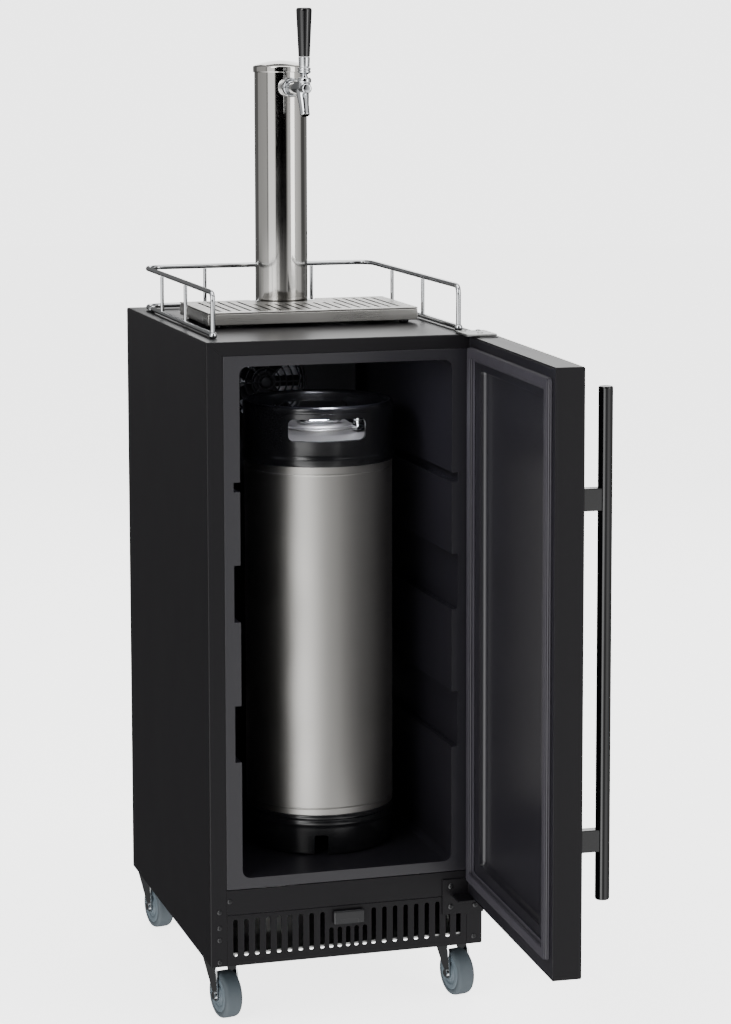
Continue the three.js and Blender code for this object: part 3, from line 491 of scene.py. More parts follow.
class KegeratorCabinet(bpy.types.Operator):
    """Models the wrapper, sill, kick grille, back and base"""
    bl_idname = "kegerator.cabinet"
    bl_label = "Cabinet"

    def execute(self, context):
        sizes = context.scene.kegerator_sizes
        x0, x1, y0, y1, z0, z1 = span("cabinet_shell")
        side, top = 23.0, 18.6           # widths of the front flange
        shell = block("cabinet_wrapper", (x0, x1, y0, y1, z0, z1), sizes.sheet_round / MM, 4)
        tower = middle("tower_column")
        carve(shell,
              block("wrapper_inside", (x0 + SHEET, x1 - SHEET, y0 + SHEET, y1 + 5, z0 - 5,
                                       z1 - SHEET)),
              block("wrapper_mouth", (x0 + side, x1 - side, y0 - 5, y0 + 5, z0 - 5, z1 - top)),
              pin("line_hole", LINE_HOLE, z1 - 5, z1 + 5, at=(0, tower.y, 0), steps=SMALL_STEPS))
        # The flange is folded from four strips that meet in a mitre at each top corner.
        for sign in (-1, 1):
            angle = math.degrees(math.atan2(top, side))
            seam = block("mitre", (-side * 0.62, side * 0.62, y0 - 1, y0 + 0.45, -0.22, 0.22))
            moved(seam, placed((sign * (x1 - side / 2), 0, z1 - top / 2))
                  @ Matrix.Rotation(math.radians(-sign * angle), 4, "Y"))
            carve(shell, seam)
        softened(shell, 0.3, 1)
        dress(shell, "cabinet", "powder_coated_steel", "cabinet_shell")

        dress(block("front_sill_strip", span("front_sill"), 0.8), "cabinet", "powder_coated_steel",
              "front_sill")
        self.grille()
        pad = block("grille_block_moulding", span("grille_block"), 2.4)
        bx0, bx1, by0, _, bz0, bz1 = span("grille_block")
        carve(pad, block("finger_groove", (bx0 + 8, bx1 - 8, by0 - 3, by0 + 1.2, bz0 - 3, bz0 + 7),
                         1.0))
        dress(pad, "cabinet", "moulded_trim", "grille_block")

        self.back()
        dress(refined("base_pan", "base_pan_sheet", 0.5), "cabinet", "zinc_spangle", "base_pan")
        head, column = sizes.screw / MM, side * 0.55
        left = [(x0 + column, y0, z0 + lift) for lift in (7, 38, 55, 77)]
        others = [(x0 + 27, y0, z0 + 91), (x1 - column, y0, z0 + 11)]
        front = screw_heads("front_screws", left + others, (0, -1, 0), head)
        dress(front, "cabinet", "moulded_trim", slot="painted_sheet_steel")
        rear = [(side_x, y1 + GAP, z) for side_x in (x0 + 10, 0, x1 - 10)
                for z in (z0 + 40, z0 + 330, z1 - 240, z1 - 12)]
        dress(screw_heads("rear_screws", rear, (0, 1, 0), head), "cabinet", "zinc_spangle")
        return {"FINISHED"}

    def back(self):
        """A flat zinc sheet with six rows of vents low down."""
        x0, x1, y0, y1, z0, z1 = span("back_panel")
        sheet = block("back_panel_sheet", (x0, x1, y0, y1, z0, z1))
        lows, half, tall = (160.0, 182.0, 204.0, 226.0, 248.0, 270.0), 120.0, 7.0
        vents = [block("vent", (-half, half, y0 - 5, y1 + 5, low, low + tall), 3.2, 4)
                 for low in lows]
        carve(sheet, joined(*vents))
        softened(sheet, 0.25)
        dress(sheet, "cabinet", "zinc_spangle", "back_panel")

    def grille(self):
        """A pressed plate with round-ended upright slots."""
        x0, x1, y0, y1, z0, z1 = span("kick_grille")
        plate = block("kick_grille_pressing", (x0, x1, y0, y1, z0, z1), 0.6)
        low, width, first, pitch, short_pitch = z0 + 12.7, 6.4, 36.8, 15.4, 12.0
        tall, short = z0 + 64.7, z0 + 41.7
        tops = [(sign * (first + i * pitch), tall) for sign in (-1, 1) for i in range(9)]
        tops += [(i * short_pitch, short) for i in range(-2, 3)]
        slots = [block("slot", (x - width / 2, x + width / 2, y0 - 6, y1 + 6, low, high),
                       width * 0.48, 4) for x, high in tops]
        carve(plate, joined(*slots))
        softened(plate, 0.35)
        dress(plate, "cabinet", "powder_coated_steel", "kick_grille")


class KegeratorLiner(bpy.types.Operator):
    """Models the liner, evaporator cover, fan and lamp"""
    bl_idname = "kegerator.liner"
    bl_label = "Liner"

    def execute(self, context):
        rounding = context.scene.kegerator_sizes.liner_round / MM
        lip_x0, lip_x1, y0, y1, lip_z0, lip_z1 = span("inner_liner")
        half, floor, ceiling, back = 149.5, 207.0, 909.0, 212.0
        hump_front, hump_top, wall, side, lip = 78.0, 397.0, 2.5, 11.5, 2.5
        liner = block("liner_forming", (-half - side, half + side, y0 + 1, y1, floor - wall,
                                        ceiling + wall))
        rim = block("liner_rim", (lip_x0, lip_x1, y0, y0 + lip, lip_z0, lip_z1), 0.9)
        carve(liner, rim, operation="UNION")
        ahead = y0 - 60
        cavity = block("cavity", (-half, half, ahead, back, floor, ceiling), 11.0, 4)
        bands = ((369, 447, hump_front - 10), (562, 640, back - 12), (740, 753, back - 12))
        for low, high, end in bands:
            carve(cavity, block("shelf_band", (-half - 9, half + 9, ahead, end, low, high)),
                  operation="UNION")
        carve(cavity, block("hump", (-half - 1, half + 1, hump_front, back + 5, floor - 5,
                                     hump_top)))
        bevelled(cavity, rounding * 0.55, 3, 60)
        carve(liner, cavity,
              block("compartment", (-half - side - 1, half + side + 1, hump_front + wall,
                                    back + wall + 1, floor - wall - 1, hump_top - wall)),
              pin("line_hole", LINE_HOLE, ceiling - 5, ceiling + 9,
                  at=(0, middle("tower_column").y, 0), steps=SMALL_STEPS))
        softened(liner, 0.9, 3, 62)
        dress(liner, "cabinet", "formed_abs", "inner_liner")
        self.fan()
        dress(block("lamp_cover", span("lamp_lens"), 1.6), "cabinet", "lit_lamp_cover",
              "lamp_lens")
        return {"FINISHED"}

    def fan(self):
        """The cover with its wire guard, and the fan behind it."""
        dress(refined("evaporator_cover", "evaporator_cover_moulding", 1.0, 3), "cabinet",
              "moulded_trim", "evaporator_cover")
        hub = middle("fan_guard")
        wire = 1.3               # half the width of a wire
        wires = [turned("ring", [(radius - wire, -wire), (radius + wire, -wire),
                                 (radius + wire, wire), (radius - wire, wire)],
                        ring=True, ease=1.0, steps=64) for radius in range(12, 63, 10)]
        wires += [spun_round(block("spoke", (6, 62, -wire, wire, -1.6, 1.0), 0.5), turn)
                  for turn in range(0, 360, 45)]
        wires.append(turned("boss", [(0, -1.6), (9, -1.6), (9, 1.4), (7, 2.4), (0, 2.8)],
                            ease=0.8, steps=SMALL_STEPS))
        guard = joined(*wires, name="fan_guard_moulding")
        moved(guard, placed(hub) @ Matrix.Rotation(math.pi / 2, 4, "X"))
        dress(guard, "cabinet", "moulded_trim", "fan_guard")
        dress(refined("fan_rotor", "fan_rotor_blades", 0.4), "fan", "moulded_trim", "fan_rotor",
              slot="galvanised_steel")


class KegeratorCooling(bpy.types.Operator):
    """Models the compressor, condenser and evaporator"""
    bl_idname = "kegerator.cooling"
    bl_label = "Cooling unit"

    def execute(self, context):
        x, y, z = middle("compressor")
        base = span("compressor")[4]
        can = turned("compressor_can", [
            (0, base), (66, base), (66, base + 6), (52, base + 12), (57, base + 30),
            (57, base + 60), (58, base + 61), (58, base + 66), (57, base + 67), (57, base + 92),
            (46, base + 116), (18, base + 126), (0, base + 127)], at=(x, y, 0), ease=5)
        dress(can, "cabinet", "compressor_paint", "compressor")
        for node, name in (("condenser", "condenser_fins"), ("evaporator", "evaporator_fins")):
            dress(refined(node, name, 0.5), "cabinet", "rolled_aluminium", node)
        return {"FINISHED"}


class KegeratorHinges(bpy.types.Operator):
    """Models the door hinges"""
    bl_idname = "kegerator.hinges"
    bl_label = "Hinges"

    def execute(self, context):
        dress(refined("top_hinge", "top_hinge_plate", 0.6), "cabinet", "zinc_spangle", "top_hinge")
        x0, x1, y0, y1, _, z1 = span("top_hinge")
        sunk = z1 - 1.2
        heads = screw_heads("top_hinge_screws", [(x0 + 9, y1 - 9, sunk), (x1 - 12, y1 - 9, sunk)],
                            (0, 0, 1), 3.6)
        dress(heads, "cabinet", "zinc_spangle")
        dress(refined("bottom_hinge", "bottom_hinge_bracket", 0.6), "cabinet",
              "powder_coated_steel", "bottom_hinge")
        x0, _, _, y1, z0, _ = span("bottom_hinge")
        face = y1 - 2.2
        heads = screw_heads("bottom_hinge_screws",
                            [(x0 + 12, face, z0 + 11), (x0 + 48, face, z0 + 11),
                             (x0 + 12, face, z0 + 40)], (0, -1, 0), 4.0)
        dress(heads, "cabinet", "moulded_trim", slot="painted_sheet_steel")
        return {"FINISHED"}


# ---- door -------------------------------------------------------------------------------------

DOOR_X = 195.0                   # half the closed door's width
DOOR_INNER, DOOR_OUTER = -264.0, -302.4
DOOR_LOW, DOOR_HIGH = 160.0, 942.0


def pin_wells():
    """Cutters for the hinge pins' holes in the closed door."""
    return [pin("pin_well", 4.4, z0, z1, at=(*DOOR_PIVOT, 0), steps=SMALL_STEPS)
            for z0, z1 in ((DOOR_LOW - 2, DOOR_LOW + 22), (DOOR_HIGH - 22, DOOR_HIGH + 2))]


class KegeratorDoor(bpy.types.Operator):
    """Models the door skin, inner panel and gasket"""
    bl_idname = "kegerator.door"
    bl_label = "Door"

    def execute(self, context):
        rounding = context.scene.kegerator_sizes.sheet_round / MM
        skin = block("door_skin_folding", (-DOOR_X, DOOR_X, DOOR_OUTER, DOOR_INNER + 6, DOOR_LOW,
                                           DOOR_HIGH), rounding, 4)
        carve(skin,
              block("skin_open_side", (-DOOR_X - 5, DOOR_X + 5, DOOR_INNER, DOOR_INNER + 9,
                                       DOOR_LOW - 5, DOOR_HIGH + 5)),
              block("skin_inside", (-DOOR_X + SHEET, DOOR_X - SHEET, DOOR_OUTER + SHEET,
                                    DOOR_INNER + 9, DOOR_LOW + SHEET, DOOR_HIGH - SHEET)),
              *pin_wells())
        softened(skin, 0.3)
        dress(on_door(skin), "door", "powder_coated_steel", "door_skin")
        edge = SHEET + GAP
        panel = block("door_panel_forming", (-DOOR_X + edge, DOOR_X - edge, DOOR_INNER - 13,
                                             DOOR_INNER, DOOR_LOW + edge, DOOR_HIGH - edge), 1.2)
        dish_inset, dish = 56.0, 9.0
        carve(panel,
              block("dish", (-DOOR_X + dish_inset, DOOR_X - dish_inset, DOOR_INNER - dish,
                             DOOR_INNER + 20, DOOR_LOW + dish_inset,
                             DOOR_HIGH - dish_inset + 14), 6.0, 5),
              *pin_wells())
        softened(panel, 1.6, 3, 62)
        dress(on_door(panel), "door", "formed_abs", "door_liner")
        base, face = DOOR_INNER + GAP, DOOR_INNER + 7.65
        section = [(0.6, base), (0, base + 1.4), (1.3, base + 2.6), (0.1, base + 3.9),
                   (1.3, base + 5.2), (0.6, face - 0.9), (1.6, face), (12.4, face),
                   (13.4, face - 0.9), (12.2, base + 5.2), (13.6, base + 3.9),
                   (12.4, base + 2.6), (16.6, base + 1.9), (18, base + 1.2), (17.6, base)]
        gasket = framed("door_gasket_extrusion", -DOOR_X + 14, DOOR_X - 14, DOOR_LOW + 23,
                        DOOR_HIGH - 14, 5.0, section)
        dress(on_door(gasket), "door", "extruded_gasket", "door_gasket", angle=50)
        bracket = block("hinge_seat", (158, 193, DOOR_OUTER + 8, DOOR_INNER - 5,
                                       DOOR_HIGH - 0.2, DOOR_HIGH + 0.9), 0.4)
        carve(bracket, pin("seat_hole", 5.2, DOOR_HIGH - 2, DOOR_HIGH + 3, at=(*DOOR_PIVOT, 0),
                           steps=SMALL_STEPS))
        dress(on_door(bracket), "door", "moulded_trim")
        return {"FINISHED"}


class KegeratorHandle(bpy.types.Operator):
    """Models the door handle"""
    bl_idname = "kegerator.handle"
    bl_label = "Door handle"

    def execute(self, context):
        x, y, radius = -160.0, -340.4, 9.3
        low, high = span("door_handle_bar")[4:]
        bar = pin("handle_bar_tube", radius, low, high, at=(x, y, 0), ease=2.4)
        dress(on_door(bar), "door", "stove_enamel", "door_handle_bar")
        for level in ("low", "high"):
            node = f"door_handle_post_{level}"
            z0, z1 = span(node)[4:]
            post = block(f"handle_post_{level}", (x - 7, x + 7, y, DOOR_OUTER - GAP, z0, z1), 1.3)
            carve(post, pin("seat", radius + GAP, z0 - 5, z1 + 5, at=(x, y, 0)))
            dress(on_door(post), "door", "stove_enamel", node)
        return {"FINISHED"}


# ---- tower and tap ----------------------------------------------------------------------------

class KegeratorTower(bpy.types.Operator):
    """Models the beer tower"""
    bl_idname = "kegerator.tower"
    bl_label = "Tower"

    def execute(self, context):
        x, y, _ = middle("tower_column")
        radius = 38.0
        at = {"at": (x, y, 0), "steps": TOWER_STEPS}
        low, high = span("tower_column")[4:]
        column = turned("tower_tube", [
            (radius - SHEET, low), (radius, low), (radius, high), (radius - SHEET, high)],
            ring=True, ease=0.4, **at)
        dress(column, "cabinet", "polished_tower_steel", "tower_column")
        base, rise = span("tower_flange")[4:]
        flange = turned("tower_flange_pressing", [
            (radius + GAP, base), (61, base), (61, base + 1.4), (59.5, rise - 0.4), (56, rise),
            (radius + 3, rise), (radius + GAP, rise)], ring=True, ease=0.7, **at)
        dress(flange, "cabinet", "polished_tower_steel", "tower_flange")
        skirt, top = span("tower_cap")[4:]
        inner, outer = radius + GAP, radius + 1.7
        cap = turned("tower_cap_pressing", [
            (0, top - 1.8), (16, top - 3.3), (30, top - 6.3), (inner, top - 10), (inner, skirt),
            (outer, skirt), (outer, top - 9), (outer - 1.4, top - 7.6), (30, top - 4.5),
            (16, top - 1.5), (0, top)], ease=1.2, **at)
        dress(cap, "cabinet", "polished_tower_steel", "tower_cap")
        return {"FINISHED"}


class KegeratorTap(bpy.types.Operator):
    """Models the tap and its handle"""
    bl_idname = "kegerator.tap"
    bl_label = "Tap"

    def execute(self, context):
        tower_y = middle("tower_column").y
        lever = middle("tap_handle")
        tap_z = middle("coupling_nut").z
        line = {"at": (0, tower_y, tap_z), "towards": (0, -1, 0), "steps": TAP_STEPS}
        collar = turned("shank_collar_plated", [
            (8.3, 37.2), (13.5, 37.2), (13.5, 42), (12.6, 44.5), (8.3, 44.5)], ring=True, ease=0.8,
            **line)
        dress(collar, "cabinet", "chrome_plating", "shank_collar")
        dress(refined("tower_shank", "tower_shank_plated"), "cabinet", "chrome_plating",
              "tower_shank")
        dress(refined("shank_nut", "shank_nut_plated", 0.5), "cabinet", "zinc_spangle",
              "shank_nut")
        coupling = turned("coupling_nut_plated", [
            (10.5, 45), (14, 45), (14, 50), (13.4, 50.6), (13.4, 51.8), (14, 52.4), (14, 61.5),
            (12.6, 66), (10.5, 66)], ring=True, ease=0.7, **line)
        fifth = 1.2566                   # radians in a fifth of a turn
        holes = [pin("spanner_hole", 1.8, 10, 20, at=(0, tower_y - 57, tap_z), steps=ROD_STEPS,
                     towards=(math.cos(i * fifth), 0, math.sin(i * fifth))) for i in range(5)]
        carve(coupling, *holes)
        dress(coupling, "cabinet", "chrome_plating", "coupling_nut")
        self.body(tower_y, tap_z, lever.y)
        pivot_lift = 16.0                # how far the lever's ball is above the barrel's axis
        self.moving(tap_z + pivot_lift, lever.y)
        return {"FINISHED"}

    def body(self, tower_y, tap_z, lever_y):
        """Barrel, boss and slanted spout in one casting, with the bonnet on top."""
        casting = turned("faucet_casting", [
            (0, 55.7), (10.2, 55.7), (10.2, 68), (8, 70.5), (8, 76), (10.2, 84), (10.6, 101),
            (9.8, 109), (7.6, 119), (7.4, 141), (7.2, 145), (5.6, 146.4), (0, 146.6)],
            at=(0, tower_y, tap_z), towards=(0, -1, 0), ease=2.2)
        boss = pin("boss", 8.6, 0, 7.7, at=(0, lever_y, tap_z), ease=1.0, steps=TAP_STEPS)
        down = {"at": (0, lever_y + 11, tap_z - 2), "towards": Vector((0, -15, -38)).normalized()}
        spout = turned("spout", [
            (0, -5), (9.4, 0), (8.4, 11), (7.2, 22), (6.9, 33), (7.1, 37.5), (6.5, 38.7),
            (0, 38.7)], ease=2.5, **down)
        carve(casting, boss, spout, operation="UNION")
        carve(casting, turned("mouth", [(0, 20), (4.9, 20), (5.2, 47), (0, 47)],
                              steps=TAP_STEPS, **down))
        softened(casting, 0.5, 2, 50)
        dress(casting, "cabinet", "chrome_plating", "faucet_body", angle=45)
        bonnet = turned("faucet_bonnet_plated", [
            (6.6, 8), (9.5, 8), (9.9, 9.5), (9.9, 13), (8.6, 15.4), (6.6, 15.4)],
            at=(0, lever_y, tap_z), ring=True, ease=0.8, steps=TAP_STEPS)
        dress(bonnet, "cabinet", "chrome_plating", "faucet_bonnet")

    def moving(self, pivot_z, lever_y):
        """Lever, ferrule and handle, which turn together."""
        at = {"at": (0, lever_y, pivot_z), "steps": TAP_STEPS}
        stem = turned("tap_lever_plated", [
            (0, -5.5), (3.8, -4.2), (5.5, 0), (4, 3), (9, 6), (9.3, 7), (9.3, 8.4), (8.4, 9),
            (8.4, 9.9), (9.3, 10.4), (9.3, 12.4), (8, 13.5), (0, 13.5)], ease=0.8, **at)
        dress(stem, "tap", "chrome_plating", "tap_lever")
        ferrule = turned("handle_ferrule_plated", [
            (0, 13.8), (7.3, 13.8), (7.7, 15), (8.2, 27.4), (7.8, 28), (0, 28)], ease=0.5, **at)
        dress(ferrule, "tap", "chrome_plating", "handle_ferrule")
        grip = turned("tap_handle_moulding", [
            (0, 28.3), (8, 28.3), (8.15, 29), (11.2, 92.5), (11.2, 94.5), (10, 96.4), (7.2, 97),
            (0, 97)], ease=1.0, **at)
        dress(grip, "tap", "stove_enamel", "tap_handle", slot="tap_handle_plastic")


# ---- tray and rail ----------------------------------------------------------------------------

class KegeratorTray(bpy.types.Operator):
    """Models the drip tray and its grate"""
    bl_idname = "kegerator.tray"
    bl_label = "Drip tray"

    def notch(self, radius, z0, z1):
        """A cutter that lets a sheet close round the tower's foot."""
        y = middle("tower_column").y
        round_end = pin("notch", radius, z0, z1, at=(0, y, 0))
        return carve(round_end, block("notch_way", (-radius, radius, y, y + 80, z0, z1)),
                     operation="UNION")

    def execute(self, context):
        x0, x1, y0, y1, foot, lip = span("drip_tray")
        low = foot + 4.2
        pan = block("drip_tray_pressing", (x0, x1, y0, y1, low, lip), 1.3)
        basin = block("basin", (x0 + 2, x1 - 2, y0 + 2, y1 - 2, low + 2, lip + 30), 3.0)
        carve(basin, self.notch(52.0, low - 5, lip + 40))
        carve(pan, self.notch(50.0, low - 5, lip + 10), basin)
        softened(pan, 0.3)
        feet = [turned("foot", [(0, foot), (6, foot), (7, foot + 1), (7, low + 1), (0, low + 1)],
                       at=(x, y, 0), steps=SMALL_STEPS, ease=0.5)
                for x in (x0 + 16, x1 - 16) for y in (y0 + 16, y1 - 16)]
        dress(pan, "tray", "brushed_tray_steel", "drip_tray")
        dress(joined(*feet, name="drip_tray_feet"), "tray", "moulded_rubber")

        x0, x1, y0, y1, z0, z1 = span("drip_grate")
        grate = block("drip_grate_pressing", (x0, x1, y0, y1, z0, z1), 0.8)
        pitch, half, beside_tower, short_end = 14.5, 2.2, 60.0, 18.0
        slots = []
        for i in range(-9, 10):
            x = i * pitch
            back = short_end if abs(x) < beside_tower else y1 - short_end
            slots.append(block("drain", (x - half, x + half, y0 + 16, back, z0 - 6, z1 + 6),
                               2.0, 3))
        carve(grate, self.notch(50.0, z0 - 5, z1 + 5), joined(*slots))
        softened(grate, 0.35)
        dress(grate, "grate", "brushed_tray_steel", "drip_grate")
        return {"FINISHED"}


class KegeratorRail(bpy.types.Operator):
    """Models the chromed guard rail"""
    bl_idname = "kegerator.rail"
    bl_label = "Guard rail"

    def execute(self, context):
        x, front, back = 174.0, -209.5, 222.0
        high, low, rod_radius, post_radius = 1005.0, 948.0, 3.5, 2.6
        front_bend, rear_bend = 12.0, 28.0
        foot = low + rod_radius + GAP
        top = rod("guard_rail_top_rod", [
            (-x, front, foot), (-x, front, high), (-x, back, high), (x, back, high),
            (x, front, high), (x, front, foot)],
            (0, front_bend, rear_bend, rear_bend, front_bend, 0), rod_radius)
        dress(top, "cabinet", "chrome_plating", "guard_rail_top")
        pieces = [rod("rail_base", [(-x, front - 4, low), (-x, back, low), (x, back, low),
                                    (x, front - 4, low)], rear_bend, rod_radius)]
        tip = high - rod_radius - GAP
        uprights = [(side, y) for side in (-x, x) for y in (-46.0, 104.0)]
        uprights += [(-82.5, back), (82.5, back)]
        pieces += [pin("upright", post_radius, low, tip, at=(*place, 0), steps=ROD_STEPS,
                       ease=0.4) for place in uprights]
        pieces += [turned("ball_foot", [(0, 943.3), (4.2, 943.3), (5.4, 945.5), (5.6, 948),
                                        (4.6, 951), (0, 952.4)], at=(side, y, 0), steps=32,
                          ease=1.0) for side in (-x, x) for y in (front, 174.0)]
        dress(joined(*pieces, name="guard_rail_base_rods"), "cabinet", "chrome_plating",
              "guard_rail_base")
        return {"FINISHED"}


# ---- keg --------------------------------------------------------------------------------------

class KegeratorKeg(bpy.types.Operator):
    """Models the keg with its rubber ends, lid and fittings"""
    bl_idname = "kegerator.keg"
    bl_label = "Keg"

    def execute(self, context):
        x, y, _ = middle("keg_shell")
        floor = span("keg_base_rubber")[4]
        height, radius = 633.0, 104.5
        crown, shoulder = height - 41, height - 84
        at = {"at": (x, y, floor), "steps": KEG_STEPS}
        self.shell(at, radius, crown, shoulder)
        self.base_rubber(at, radius)
        self.top_rubber(at, radius, height, crown, shoulder)
        self.fittings(x, y, floor, crown)
        return {"FINISHED"}

    def shell(self, at, radius, crown, shoulder):
        """A drawn body with a rolled bead near each end."""
        shell = turned("keg_body", [
            (0, 16), (60, 19), (92, 28), (radius, 44), (radius, 66), (radius + 0.5, 67),
            (radius, 68), (radius, shoulder - 12), (radius + 0.6, shoulder - 11),
            (radius, shoulder - 10), (radius, shoulder + 14), (98, crown - 14), (72, crown - 3),
            (48, crown), (45, crown), (45, crown - 2), (72, crown - 5), (96.5, crown - 16),
            (radius - 1.5, shoulder + 13.5), (radius - 1.5, 44.5), (91, 30), (60, 20.6),
            (0, 17.6)], ease=1.2, **at)
        dress(shell, "keg", "linished_keg_steel", "keg_shell")

    def base_rubber(self, at, radius):
        inner, outer, top = radius + GAP, 107.0, 58.0
        base = turned("keg_base_boot", [
            (90, 0), (99, 0), (101.5, 2), (105.3, 38), (105.8, 41), (outer, 44), (outer, 48),
            (outer - 1, 49.2), (outer - 1, 51), (outer, 52.4), (outer, top - 2), (106, top),
            (inner, top), (inner, 43), (96, 26), (90, 18)], ring=True, ease=1.6, **at)
        notch = block("drain_notch", (-9.5, 9.5, -125, -80, -8, 29), 3.0)
        carve(base, moved(spun_round(notch, -14), placed(at["at"])))
        softened(base, 0.9, 3)
        dress(base, "keg", "moulded_rubber", "keg_base_rubber")

    def top_rubber(self, at, radius, height, crown, shoulder):
        """A ring with a hand hole front and back, each in a raised frame."""
        inner, outer = radius + GAP, 106.0
        ring = turned("keg_top_boot", [
            (inner, shoulder), (107, shoulder + 0.6), (107.8, shoulder + 3),
            (107.8, shoulder + 11), (106.6, shoulder + 13), (outer, shoulder + 17),
            (outer, height - 12), (106.8, height - 8), (106, height - 2.4), (103, height),
            (100, height - 0.6), (98.2, height - 4), (97.5, height - 12), (99, crown - 13),
            (inner, shoulder + 14.5)], ring=True, ease=2.0, **at)
        low, high = height - 48, height - 17
        for turn in (-8, 172):
            def seated(obj):
                return moved(spun_round(obj, turn), placed(at["at"]))
            pad = turned("pad", [(103, low - 9), (108.6, low - 9), (108.6, high + 8),
                                 (103, high + 8)], ring=True, **at)
            carve(pad, seated(block("pad_sides", (-63, 63, -130, -60, low - 8, high + 7), 9.0,
                                    4)), operation="INTERSECT")
            carve(ring, pad, operation="UNION")
            carve(ring, seated(block("hand_hole", (-54, 54, -130, -60, low, high), 8.0, 5)))
        softened(ring, 1.2, 3)
        dress(ring, "keg", "moulded_rubber", "keg_top_rubber")

    def fittings(self, x, y, floor, crown):
        """Lid, bail, relief valve and the two couplings."""
        at = {"at": (x, y, floor + crown)}
        lid = turned("keg_lid_pressing", [
            (0, GAP), (52, GAP), (52, 2.2), (49, 3.4), (46, 3.2), (44, 5.8), (40, 8.4), (38, 9),
            (31, 8.2), (29, 6.8), (24, 6.8), (22, 8.6), (0, 9)], ease=1.0, **at)
        dress(lid, "keg", "linished_keg_steel", "keg_lid")
        half, wire, z = 27.0, 2.4, floor + crown + 13
        bail = rod("keg_lid_bail_wire", [
            (-half, 0, 0), (-half, -36, 0), (half, -36, 0), (half, 0, 0)], 10.0, wire)
        axle = pin("bail_axle", wire, -half, half, towards=(1, 0, 0), steps=ROD_STEPS, ease=0.4)
        bail = joined(bail, axle, name="keg_lid_bail_wire")
        moved(spun_round(bail, -8), placed((x, y, z)))
        dress(bail, "lid_bail", "chrome_plating", "keg_lid_bail", slot="brushed_stainless")
        reach = 65.0                     # from the keg's middle to each post
        for node, turn in (("keg_liquid_post", -45), ("keg_gas_post", 135)):
            angle = math.radians(turn)
            place = (x + reach * math.cos(angle), y + reach * math.sin(angle), floor + crown)
            post = turned(f"{node}_machined", [
                (0, GAP), (9, GAP), (9, 7), (7.5, 8.4), (7.5, 12), (7, 12.6), (7, 14), (7.5, 14.6),
                (7.5, 19), (8.8, 20.6), (8.8, 23), (8, 25), (5, 25), (4.4, 23.6), (0, 23.4)],
                at=place, ease=0.7, steps=TAP_STEPS)
            nut = pin("post_hexagon", 10.2, GAP, 7, at=place, steps=6)
            piece = joined(post, bevelled(nut, 0.7, 2, 20), name=f"{node}_machined")
            dress(piece, "keg", "chrome_plating", node, slot="brushed_stainless")
        relief_x, relief_y, _ = middle("keg_relief_valve")
        low = crown + 9 + GAP
        valve = turned("relief_valve_machined", [
            (0, low), (7, low), (7, low + 4), (4.5, low + 6), (4.5, low + 11), (6.5, low + 12),
            (6.5, low + 14), (0, low + 14)], at=(relief_x, relief_y, floor), ease=0.6,
            steps=TAP_STEPS)
        dress(valve, "relief_valve", "chrome_plating", "keg_relief_valve")


# ---- casters ----------------------------------------------------------------------------------

class KegeratorCasters(bpy.types.Operator):
    """Models the casters"""
    bl_idname = "kegerator.casters"
    bl_label = "Casters"

    def execute(self, context):
        for corner in CORNERS:
            stem, fork = f"caster_stem_{corner}", f"caster_fork_{corner}"
            dress(refined(stem, f"{stem}_turned", 0.5), "cabinet", "zinc_spangle", stem)
            dress(refined(fork, f"{fork}_pressing", 0.5, 3), f"caster_{corner}", "chrome_plating",
                  fork)
            self.wheel(corner)
        return {"FINISHED"}

    def wheel(self, corner):
        """A grey wheel with a ringed face and a darker, crowned tread."""
        centre = middle(f"caster_wheel_{corner}")
        turn = math.radians(CASTER_TURN)
        axis = {"at": centre, "towards": (math.cos(turn), math.sin(turn), 0)}
        w, radius = 12.5, 32.5
        half_face = [(w + 1, 3.9), (w + 1, 9), (w, 9.4), (w, 12), (w - 1.4, 12.8), (w - 1.4, 16),
                     (w - 0.4, 17), (w, 18.4), (w, 22.4), (w - 0.8, 23.2), (w - 0.8, 24.6)]
        face = [(r, z) for z, r in half_face]
        outline = face + [(24.6, -w + 0.8)] + [(r, -z) for r, z in reversed(face[:-1])]
        hub = turned(f"caster_hub_{corner}", outline, ring=True, ease=0.5, **axis)
        dress(hub, f"wheel_{corner}", "wheel_rubber", f"caster_wheel_{corner}")
        tread = turned(f"caster_tread_{corner}", [
            (24.4, -w), (28.5, -w), (31, -w + 1.6), (radius - 0.2, -w + 4.5), (radius, 0),
            (radius - 0.2, w - 4.5), (31, w - 1.6), (28.5, w), (24.4, w)], ring=True, ease=1.2,
            **axis)
        dress(tread, f"wheel_{corner}", "wheel_tread", f"caster_wheel_{corner}")


# ---- stage ------------------------------------------------------------------------------------

